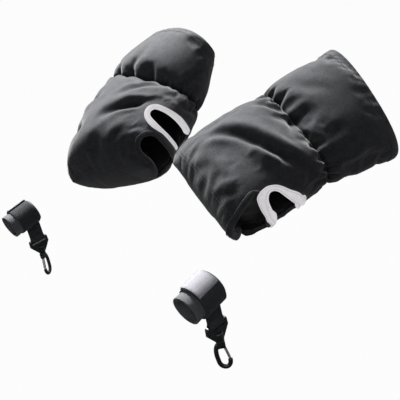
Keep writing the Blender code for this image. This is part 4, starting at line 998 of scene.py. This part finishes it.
for prefix, shape in shapes.items():
    loop_rows = ((0.003, -0.0008, -0.0018), (0.0235, -0.0008, -0.0018))
    hook_rows = ((-0.014, -0.0008, -0.00335), (-0.0015, -0.0008, -0.00335), (0.0015, -0.00215, -0.00335),
                 (0.022, -0.00215, -0.00335))
    loop_tape, _, _ = laid_tape(shape, prefix + "_loop_tape", loop_rows, looped)
    hook_tape, places, turns = laid_tape(shape, prefix + "_hook_tape", hook_rows, hooked)
    fit(loop_tape, prefix + "_muff", "tape", prefix + "_closing_tape_loop")
    fit(hook_tape, prefix + "_flap", "tape", prefix + "_closing_tape_hook")
    seams[prefix + "_flap", "dark"] = [thread_line(shape, places[k, 1:-1], turns[1:-1], 0.0036)
                                       for k in (1, 5)]

# Strap hooks: a foam pad wraps the bar's leg and a woven strap is wound over it. The strap's
# loose end carries a grey woven patch, and a doubled webbing hangs from it to hold the base.
woven, given, result = node_group(
    "rib_weave", "ShaderNodeTree",
    (("Lay", "Vector", None), ("Rib Scale", "Float", 260.0), ("Warp Scale", "Float", 390.0)),
    (("Height", "Float", None), ("Wear", "Float", None)))
ribs, warps = (node(woven, "ShaderNodeTexWave", {"Vector": given["Lay"], "Scale": given[scale_name],
                                                 "Distortion": 0.6, "Detail Scale": 3.0},
                    bands_direction=direction).outputs["Fac"]
               for direction, scale_name in (("X", "Rib Scale"), ("Y", "Warp Scale")))
crossed = node(woven, "ShaderNodeMath", {0: ribs, 1: warps, 2: 0.1}, operation="MULTIPLY_ADD").outputs[0]
fuzz = node(woven, "ShaderNodeTexNoise", {"Vector": given["Lay"], "Scale": 300.0, "Detail": 3.0})
rubbed = node(woven, "ShaderNodeMath", {0: fuzz.outputs["Fac"], 1: 0.8}, operation="MULTIPLY")
worn = node(woven, "ShaderNodeMath", {0: crossed, 1: 0.55, 2: rubbed.outputs[0]}, operation="MULTIPLY_ADD")
feed(woven, result, {"Height": crossed, "Wear": worn.outputs[0]})


def webbing(name, dark, light, rib, warp, roughness, sheen):
    """A ribbed woven band; its threads follow the band through the point attribute "lay"."""
    made, tree, shader = new_material(name)
    run = node(tree, "ShaderNodeAttribute", attribute_name="lay")
    weave = node(tree, "ShaderNodeGroup", {"Lay": run.outputs["Vector"], "Rib Scale": rib, "Warp Scale": warp},
                 node_tree=woven)
    feed(tree, shader, {"Base Color": ramp(tree, weave.outputs["Wear"], 0.2, dark, 0.9, light),
                        "Roughness": roughness, "Specular IOR Level": 0.25, "Sheen Weight": sheen,
                        "Sheen Roughness": 0.4, "Normal": relief(tree, weave.outputs["Height"], 0.6, 0.0003)})
    return made


strap_cloth = webbing("black_strap", (0.016, 0.019, 0.021), (0.062, 0.070, 0.076), 260, 390, 0.75, 0.10)
patch_cloth = webbing("grey_patch_cloth", (0.40, 0.395, 0.435), (0.60, 0.59, 0.64), 420, 420, 0.65, 0.0)
web_cloth = webbing("black_webbing", (0.014, 0.017, 0.018), (0.055, 0.063, 0.067), 210, 300, 0.6, 0.12)
foam = cloth("grey_foam", (0.12, 0.125, 0.135), (0.26, 0.27, 0.29), 1500, 260, 0.6, 0.85, 0.35)


def band(name, frames, thick, width, rounding, material, side):
    """A flat band swept along frames (point on its inner face, outward axis, width axis)."""
    corner = min(rounding, thick * 0.49)
    ring = []
    for x0, z0, start in ((thick - corner, width / 2 - corner, 0), (corner, width / 2 - corner, 90),
                          (corner, -width / 2 + corner, 180), (thick - corner, -width / 2 + corner, 270)):
        for step in range(4):
            angle = math.radians(start + step * 30)
            ring.append((x0 + corner * math.cos(angle), z0 + corner * math.sin(angle)))
    full = []
    for (x, z), (next_x, next_z) in zip(ring, ring[1:] + ring[:1]):
        steps = 8 if abs(next_z - z) > width * 0.5 else 1
        full += [(x + (next_x - x) * k / steps, z + (next_z - z) * k / steps) for k in range(steps)]
    verts, lay, run = [], [], 0.0
    for i, (origin, out, wide) in enumerate(frames):
        if i:
            run += float(np.linalg.norm(origin - frames[i - 1][0]))
        for x, z in full:
            verts.append(origin + out * x + wide * z)
            lay.append((run, z, 0.0))
    piece = solid(name, verts, tube_faces(len(frames), len(full)), side, material)
    mask = piece.data.attributes.new("lay", "FLOAT_VECTOR", "POINT")
    mask.data.foreach_set("vector", np.array(lay, np.float32).reshape(-1))
    return piece


leg_point = np.array((0.230, -0.163, -0.093))
leg_dip = math.radians(11.0)
leg_along = np.array((0.0, -math.cos(leg_dip), -math.sin(leg_dip)))
leg_across = np.array((1.0, 0.0, 0.0))
leg_up = np.cross(leg_along, leg_across)
bar_point = leg_point + np.array((0.0, 0.010, -0.052))
east, north, high_up = np.eye(3)
hook_sides = (("left", 1, 124.0), ("right", -1, 82.0))


def turned_frame(centre, radius, angle):
    """A band's frame at an angle round the leg."""
    out = leg_across * math.cos(math.radians(angle)) + leg_up * math.sin(math.radians(angle))
    return (centre + out * radius, out, leg_along)


def upper_slope(y, z, top):
    """How far the webbing's upper end is drawn up to follow the sloping strap."""
    return np.clip((z - 0.012) / (top - 0.012), 0, 1) * (y + 0.010) * math.tan(leg_dip)


for prefix, side, tail_end in hook_sides:
    mirror, sleeve = np.array((side, 1, 1)), prefix + "_hook_sleeve"
    pad_centre = leg_point + leg_along * 0.005
    frames = [turned_frame(pad_centre, 0.0183, a) for a in np.linspace(-88.6, 268.6, 89)]
    pad = band(prefix + "_hook_pad", frames, 0.0021, 0.0522, 0.0009, foam, side)
    spots = np.array([v.co[:] for v in pad.data.vertices])
    end = (spots - pad_centre * mirror) @ leg_along
    away = spots - pad_centre * mirror - np.outer(end, leg_along)
    outside = np.linalg.norm(away, axis=1, keepdims=True) > 0.0196
    swell = (0.0004 * np.clip((end - 0.018) / 0.008, 0, 1) ** 2)[:, None] * outside
    pad.data.vertices.foreach_set("co", (spots + unit(away) * swell).reshape(-1))
    fit(pad, sleeve, "pad", prefix + "_hook_leg_pad")

    frames = []
    for angle in np.concatenate((np.arange(-90, 270, 4.0), np.arange(270, 360 + tail_end + 0.1, 4.0))):
        climb = min(max((angle - 246) / 24, 0.0), 1.0)
        climb = climb * climb * (3 - 2 * climb)
        frames.append(turned_frame(leg_point, 0.0206 + 0.0019 * climb, angle))
    strap = band(prefix + "_hook_wound_strap", frames, 0.0016, 0.036, 0.0006, strap_cloth, side)
    fit(strap, sleeve, "strap", prefix + "_hook_strap")

    start = tail_end - 86
    frames = [turned_frame(leg_point, 0.0244, a) for a in np.linspace(start, tail_end, 32)]
    patch_piece = band(prefix + "_hook_patch", frames, 0.0008, 0.033, 0.0003, patch_cloth, side)
    fit(patch_piece, sleeve, "patch", prefix + "_hook_grey_patch")
    rows = seams.setdefault((sleeve, "dark"), [])
    grey_rows = seams.setdefault((sleeve, "grey"), [])
    corners = rectangle(start + 3, tail_end - 3, -0.0150, 0.0150)
    for (a0, z0), (a1, z1) in zip(corners, corners[1:] + corners[:1]):
        line = [turned_frame(leg_point, 0.0252, a)[0] + leg_along * z
                for a, z in zip(np.linspace(a0, a1, 24), np.linspace(z0, z1, 24))]
        grey_rows.append(np.array(line) * mirror)

    # Webbing: two plies sewn together under the strap, open below round the base's bar
    eye, ply, top = 0.0026, 0.0014, 0.0265
    path = [(-0.00005, z) for z in np.linspace(top, 0.0090, 12)] + [(-0.0008, 0.0058), (-0.0017, 0.0037)]
    path += [(eye * math.cos(t), eye * math.sin(t)) for t in np.radians(np.linspace(135, 405, 40))]
    path += [(0.0017, 0.0037), (0.0008, 0.0058)] + [(0.00005, z) for z in np.linspace(0.0090, top, 12)]
    path = curved(np.array(path), 2)
    frames = [(bar_point + east * point[0] + high_up * point[1], high_up * ahead[0] - east * ahead[1], north)
              for point, ahead in zip(path, unit(np.gradient(path, axis=0)))]
    if frames[0][1] @ east > 0:
        frames = [(at, -out, wide) for at, out, wide in frames]
    web = band(prefix + "_hook_webbing", frames, ply, 0.026, 0.0006, web_cloth, side)
    spots = np.array([v.co[:] for v in web.data.vertices])
    _, y, z = (spots - bar_point * mirror).T
    spots[:, 2] += upper_slope(y, z, top)
    web.data.vertices.foreach_set("co", spots.reshape(-1))
    fit(web, sleeve, "webbing", prefix + "_hook_webbing_loop")
    for face in (-1, 1):
        for z in (0.0115, 0.0135, 0.0205):
            line = [bar_point + east * face * 0.0017 + north * y + high_up * (z + upper_slope(y, z, top))
                    for y in np.linspace(-0.0115, 0.0115, 12)]
            rows.append(np.array(line) * mirror)

# Swivel base and snap hook: black moulded plastic with a fine matt grain and softly rounded
# edges. The base holds the webbing's bar; the snap's round head turns in its boss.
moulded, tree, shader = new_material("black_plastic")
where = node(tree, "ShaderNodeTexCoord").outputs["Object"]
spark = node(tree, "ShaderNodeTexNoise", {"Vector": where, "Scale": 900, "Detail": 3}).outputs["Fac"]
scuff = node(tree, "ShaderNodeTexNoise", {"Vector": where, "Scale": 90, "Detail": 5}).outputs["Fac"]
gloss = node(tree, "ShaderNodeMapRange", {"Value": scuff, "To Min": 0.26, "To Max": 0.44})
feed(tree, shader, {"Base Color": ramp(tree, scuff, 0.35, (0.007, 0.008, 0.009), 0.70, (0.017, 0.019, 0.021)),
                    "Roughness": gloss.outputs[0], "Normal": relief(tree, spark, 0.15, 0.0002)})


def circle(width, height, count):
    """Points round a circle, or an oval, given its two half sizes."""
    angles = np.linspace(0, 2 * math.pi, count, endpoint=False)
    return [(width * math.cos(a), height * math.sin(a)) for a in angles]


def tube(name, points, sections, second, side, material):
    """A closed tube through points; sections list each ring's pairs, second is its side axis."""
    verts = []
    for i, point in enumerate(points):
        along = unit(points[min(i + 1, len(points) - 1)] - points[max(i - 1, 0)])
        first = np.cross(along, second)
        verts += [point + first * x + second * y for x, y in sections[i]]
    return solid(name, verts, tube_faces(len(points), len(sections[0])), side, material)


def turned_solid(name, outline, centre, side, material):
    """A solid of revolution about the vertical through a centre; outline lists radius, height."""
    sides = 40
    turns = [2 * math.pi * k / sides for k in range(sides)]
    verts = [centre + np.array((radius * math.cos(turn), radius * math.sin(turn), height))
             for radius, height in outline for turn in turns]
    return solid(name, verts, tube_faces(len(outline), sides), side, material)


def block_solid(name, outline, low, high, axes, origin, side, material, width=0.0):
    """A flat outline made into a block between two places on the third axis, edges rounded."""
    verts = [origin + axes[0] * x + axes[1] * y + axes[2] * z for z in (low, high) for x, y in outline]
    made = solid(name, verts, tube_faces(2, len(outline)), side, material, False)
    if width:
        edge = made.modifiers.new("edges", "BEVEL")
        edge.width, edge.segments = width, 3
        edge.limit_method = "ANGLE"
        settle(made)
    return made


def finished(piece):
    """Smooth where the surface is round and sharp where it meets at an angle."""
    work = bmesh.new()
    work.from_mesh(piece.data)
    bmesh.ops.remove_doubles(work, verts=work.verts, dist=1e-6)
    bmesh.ops.dissolve_degenerate(work, edges=work.edges, dist=1e-6)
    work.to_mesh(piece.data)
    work.free()
    piece.data.polygons.foreach_set("use_smooth", [True] * len(piece.data.polygons))
    piece.data.set_sharp_from_angle(angle=math.radians(34))
    weighted = piece.modifiers.new("normals", "WEIGHTED_NORMAL")
    weighted.keep_sharp = True
    return settle(piece)


def joined_with(piece, other, operation="UNION"):
    """Joins another solid to the piece, or cuts with it, and uses it up."""
    cut(piece, [other], operation)
    bpy.data.objects.remove(other, do_unlink=True)


for prefix, side, _ in hook_sides:
    axes = (north, high_up, east)
    half_outline = [(0.0070, -0.0240), (0.0180, -0.0090), (0.0175, 0.0009), (0.0169, 0.0023), (0.0155, 0.0029)]
    outline = [(-y, z) for y, z in half_outline[::-1]] + half_outline
    base = block_solid(prefix + "_swivel_plate", outline, -0.0030, 0.0030, axes, bar_point, side, moulded,
                       0.0009)
    boss_rings = ((0.0058, -0.0128), (0.0066, -0.0136), (0.0066, -0.0244), (0.0061, -0.0250))
    joined_with(base, turned_solid("boss", boss_rings, bar_point, side, moulded))
    window = block_solid("window", rectangle(-0.0138, 0.0138, -0.0051, 0.05), -0.05, 0.05, axes, bar_point,
                         side, moulded, 0.0012)
    joined_with(base, window, "DIFFERENCE")
    rod_points = np.array([bar_point + north * y for y in (-0.0153, 0.0153)])
    joined_with(base, tube("rod", rod_points, [circle(0.0023, 0.0023, 24)] * 2, east, side, moulded))
    chamber_rings = ((0.0047, -0.0150), (0.0047, -0.0198), (0.0032, -0.0198), (0.0032, -0.0290))
    joined_with(base, turned_solid("socket", chamber_rings, bar_point, side, moulded), "DIFFERENCE")
    finished(base)
    fit(base, prefix + "_hook_swivel", "plastic", prefix + "_hook_swivel_base")


def snap_axes(prefix, side):
    """The snap's sideways and facing axes; each snap is turned in its base as in the photo."""
    turn = math.radians({"left": 52.0, "right": -60.0}[prefix])
    sideways = np.array((side * math.cos(turn), math.sin(turn), 0.0))
    return sideways, np.cross(sideways, high_up)


def in_snap(sideways, pairs):
    """Points of the snap from pairs of how far sideways and how high."""
    return np.array([bar_point + sideways * u + high_up * z for u, z in pairs])


for prefix, side, _ in hook_sides:
    sideways, facing = snap_axes(prefix, side)
    axes = (sideways, high_up, facing)
    head_rings = ((0.0040, -0.0154), (0.0043, -0.0157), (0.0043, -0.0194), (0.0030, -0.0194), (0.0030, -0.0254),
                  (0.0051, -0.0254), (0.0056, -0.0259), (0.0056, -0.0275), (0.0051, -0.0280))
    snap = turned_solid(prefix + "_snap", head_rings, bar_point, side, moulded)
    knots = np.array(((0.0, -0.0272), (-0.0018, -0.0300), (-0.0050, -0.0335), (-0.0070, -0.0380),
                      (-0.0078, -0.0440), (-0.0078, -0.0500), (-0.0067, -0.0600), (-0.0050, -0.0650),
                      (-0.0022, -0.0682), (0.0018, -0.0696), (0.0050, -0.0685), (0.0073, -0.0655),
                      (0.0083, -0.0612), (0.0082, -0.0568)))
    points = curved(knots, 4)
    to_tip = len(points) - 1 - np.arange(len(points))
    sizes = np.clip(to_tip / 2.0, 0, 1) ** 0.5 * 0.35 + 0.65
    rings = [circle(0.0031 * size, 0.0028 * size, 20) for size in sizes]
    joined_with(snap, tube("hook_arm", in_snap(sideways, points), rings, facing, side, moulded))
    shoulders = block_solid("shoulders", rectangle(-0.0050, 0.0062, -0.0374, -0.0272), -0.0037, 0.0037, axes,
                            bar_point, side, moulded, 0.0011)
    joined_with(snap, shoulders)
    fork = block_solid("fork", rectangle(-0.0008, 0.0080, -0.0390, -0.0298), -0.0023, 0.0023, axes, bar_point,
                       side, moulded)
    joined_with(snap, fork, "DIFFERENCE")
    finished(snap)
    fit(snap, prefix + "_hook_snap", "plastic", prefix + "_hook_snap_hook")

# Gates: bright pressed steel with a black coated eye at the top, turning on a steel pin and
# held shut by a small leaf spring.


def steel(name, coated):
    """Bright steel with drawn lines; a coated one is black at its top."""
    made, tree, shader = new_material(name)
    where = node(tree, "ShaderNodeTexCoord").outputs["Object"]
    drawn = node(tree, "ShaderNodeMapping", {"Vector": where, "Scale": (1, 1, 0.08)}).outputs["Vector"]
    lines = node(tree, "ShaderNodeTexNoise", {"Vector": drawn, "Scale": 1800}).outputs["Fac"]
    tint = ramp(tree, lines, 0.3, (0.58, 0.58, 0.60), 0.7, (0.82, 0.82, 0.84))
    gloss = node(tree, "ShaderNodeMapRange", {"Value": lines, "To Min": 0.20, "To Max": 0.42})
    metal = 1.0
    if coated:
        height = node(tree, "ShaderNodeSeparateXYZ", {0: where}).outputs["Z"]
        edge = node(tree, "ShaderNodeMapRange", {"Value": height, "From Min": bar_point[2] - 0.0376,
                                                 "From Max": bar_point[2] - 0.0370}).outputs[0]
        tint = node(tree, "ShaderNodeMix", {0: edge, 6: tint, 7: (0.012, 0.012, 0.013, 1)},
                    data_type="RGBA").outputs[2]
        bare = node(tree, "ShaderNodeMath", {0: 1.0, 1: edge}, operation="SUBTRACT").outputs[0]
        metal = node(tree, "ShaderNodeMath", {0: bare, 1: 0.75}, operation="MULTIPLY").outputs[0]
    feed(tree, shader, {"Base Color": tint, "Roughness": gloss.outputs[0], "Metallic": metal})
    return made


steel_look, coated_look = steel("bright_steel", False), steel("steel_gate", True)
for prefix, side, _ in hook_sides:
    sideways, facing = snap_axes(prefix, side)
    pivot = bar_point + sideways * 0.0036 + high_up * -0.0336
    end = bar_point + sideways * 0.0081 + high_up * -0.0557
    down = unit(end - pivot)
    inward = np.cross(down, facing)
    length = float(np.linalg.norm(end - pivot))
    eye = 0.0016
    outline = [(eye * math.cos(a), eye * math.sin(a)) for a in np.linspace(0, math.pi, 13)]
    outline += [(-eye, -length), (eye, -length)]
    gate = block_solid(prefix + "_snap_gate", outline, -0.0020, 0.0020, (inward, -down, facing), pivot, side,
                       coated_look, 0.0005)
    hole_points = np.array([pivot + facing * z for z in (-0.0072, 0.0072)])
    hole = tube("hole", hole_points, [circle(0.0012, 0.0012, 20)] * 2, sideways, side, moulded)
    joined_with(gate, hole, "DIFFERENCE")
    finished(gate)
    fit(gate, prefix + "_hook_gate_arm", "steel", prefix + "_hook_gate")
    pin_points = np.array([pivot + facing * z for z in (-0.0036, -0.0034, 0.0034, 0.0036)])
    pin_rings = [[(x * s, y * s) for x, y in circle(0.0009, 0.0009, 20)] for s in (0.7, 1, 1, 0.7)]
    pin = tube(prefix + "_snap_pin", pin_points, pin_rings, sideways, side, steel_look)
    finished(pin)
    leaf_knots = np.array(((-0.0003, -0.0306), (-0.0001, -0.0330), (0.0008, -0.0352), (0.0020, -0.0372)))
    leaf_line = in_snap(sideways, curved(leaf_knots, 5))
    leaf_ring = rectangle(-0.000175, 0.000175, -0.0013, 0.0013)
    leaf = tube(prefix + "_snap_leaf", leaf_line, [leaf_ring] * len(leaf_line), facing, side, steel_look)
    finished(leaf)
    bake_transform(leaf)
    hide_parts(prefix + "_hook_gate_spring")
    fit(pin, prefix + "_hook_snap", "steel", prefix + "_hook_gate_pin")

# Stitching: lockstitched thread, charcoal on the cloth and pale on the bindings, sewn
# through the wall along the cuff hem, the cuff's side seam and the front edge.
around = np.linspace(0, TURNS, 241)
for prefix, shape in shapes.items():
    dark = seams.setdefault((prefix + "_muff", "dark"), [])
    for place in (1.862, 1.874):
        dark.append(thread_line(shape, np.full(241, place), around))
    seam_turn = 2.5 if prefix == "left" else 21.5
    run = np.linspace(1.09, 1.85, 60)
    for beside in (-0.10, 0.10):
        dark.append(thread_line(shape, run, seam_turn + beside + 0.25 * (run - 1.4)))
    for place in (0.050, 0.068):
        dark.append(thread_line(shape, place + 0.012 * np.linspace(0, 1, 90), np.linspace(1.2, 10.8, 90)))

stitch, given, result = node_group(
    "lockstitch", "GeometryNodeTree",
    (("Seam", "Geometry", None), ("Pitch", "Float", 0.0032), ("Length", "Float", 0.0024),
     ("Thread", "Float", 0.0005), ("Material", "Material", None)),
    (("Stitches", "Geometry", None),))
curve = node(stitch, "GeometryNodeMeshToCurve", {"Mesh": given["Seam"]}).outputs["Curve"]
spaced = node(stitch, "GeometryNodeResampleCurve", {"Curve": curve, "Length": given["Pitch"]}, mode="LENGTH")
lie = node(stitch, "GeometryNodeInputTangent").outputs["Tangent"]
turned = node(stitch, "FunctionNodeAlignRotationToVector", {"Vector": lie}, axis="X")
bead = node(stitch, "GeometryNodeMeshIcoSphere", {"Radius": 0.5, "Subdivisions": 2}).outputs["Mesh"]
stretch = node(stitch, "ShaderNodeCombineXYZ", {"X": given["Length"], "Y": given["Thread"],
                                                "Z": given["Thread"]})
sized = node(stitch, "GeometryNodeTransform", {"Geometry": bead, "Scale": stretch.outputs["Vector"]})
laid = node(stitch, "GeometryNodeInstanceOnPoints", {
    "Points": spaced.outputs["Curve"], "Instance": sized.outputs["Geometry"],
    "Rotation": turned.outputs["Rotation"]}).outputs["Instances"]
real = node(stitch, "GeometryNodeRealizeInstances", {"Geometry": laid}).outputs["Geometry"]
dyed = node(stitch, "GeometryNodeSetMaterial", {"Geometry": real, "Material": given["Material"]})
feed(stitch, result, {"Stitches": dyed.outputs["Geometry"]})

threads = {}
for shade_name, colour in (("dark", (0.030, 0.031, 0.035)), ("grey", (0.20, 0.20, 0.22)),
                           ("pale", (0.42, 0.42, 0.43))):
    threads[shade_name], tree, shader = new_material(shade_name + "_thread")
    twist = node(tree, "ShaderNodeTexNoise", {"Scale": 3000}).outputs["Fac"]
    feed(tree, shader, {"Base Color": (*colour, 1), "Roughness": 0.6,
                        "Normal": relief(tree, twist, 0.3, 0.0002)})


def sew(name, lines, thread_material, pitch, length, thread_width):
    """Stitches laid along lines of points."""
    verts, edges = [], []
    for line in lines:
        first = len(verts)
        verts += [tuple(point) for point in line]
        edges += [(first + i, first + i + 1) for i in range(len(line) - 1)]
    mesh = bpy.data.meshes.new(name)
    mesh.from_pydata(verts, edges, [])
    row = linked(name, mesh)
    step = row.modifiers.new("lockstitch", "NODES")
    step.node_group = stitch
    keys = {item.name: item.identifier for item in stitch.interface.items_tree
            if item.item_type == "SOCKET" and item.in_out == "INPUT"}
    for label, value in (("Pitch", pitch), ("Length", length), ("Thread", thread_width),
                         ("Material", thread_material)):
        step[keys[label]] = value
    settle(row)
    row.data.polygons.foreach_set("use_smooth", [True] * len(row.data.polygons))
    return row


thread_slots = {"dark": "softshell", "pale": "reflective", "grey": "patch"}
for (body, shade_name), lines in seams.items():
    row = sew(body + "_" + shade_name + "_stitches", lines, threads[shade_name], 0.0032, 0.0025, 0.00055)
    fit(row, body, thread_slots[shade_name])
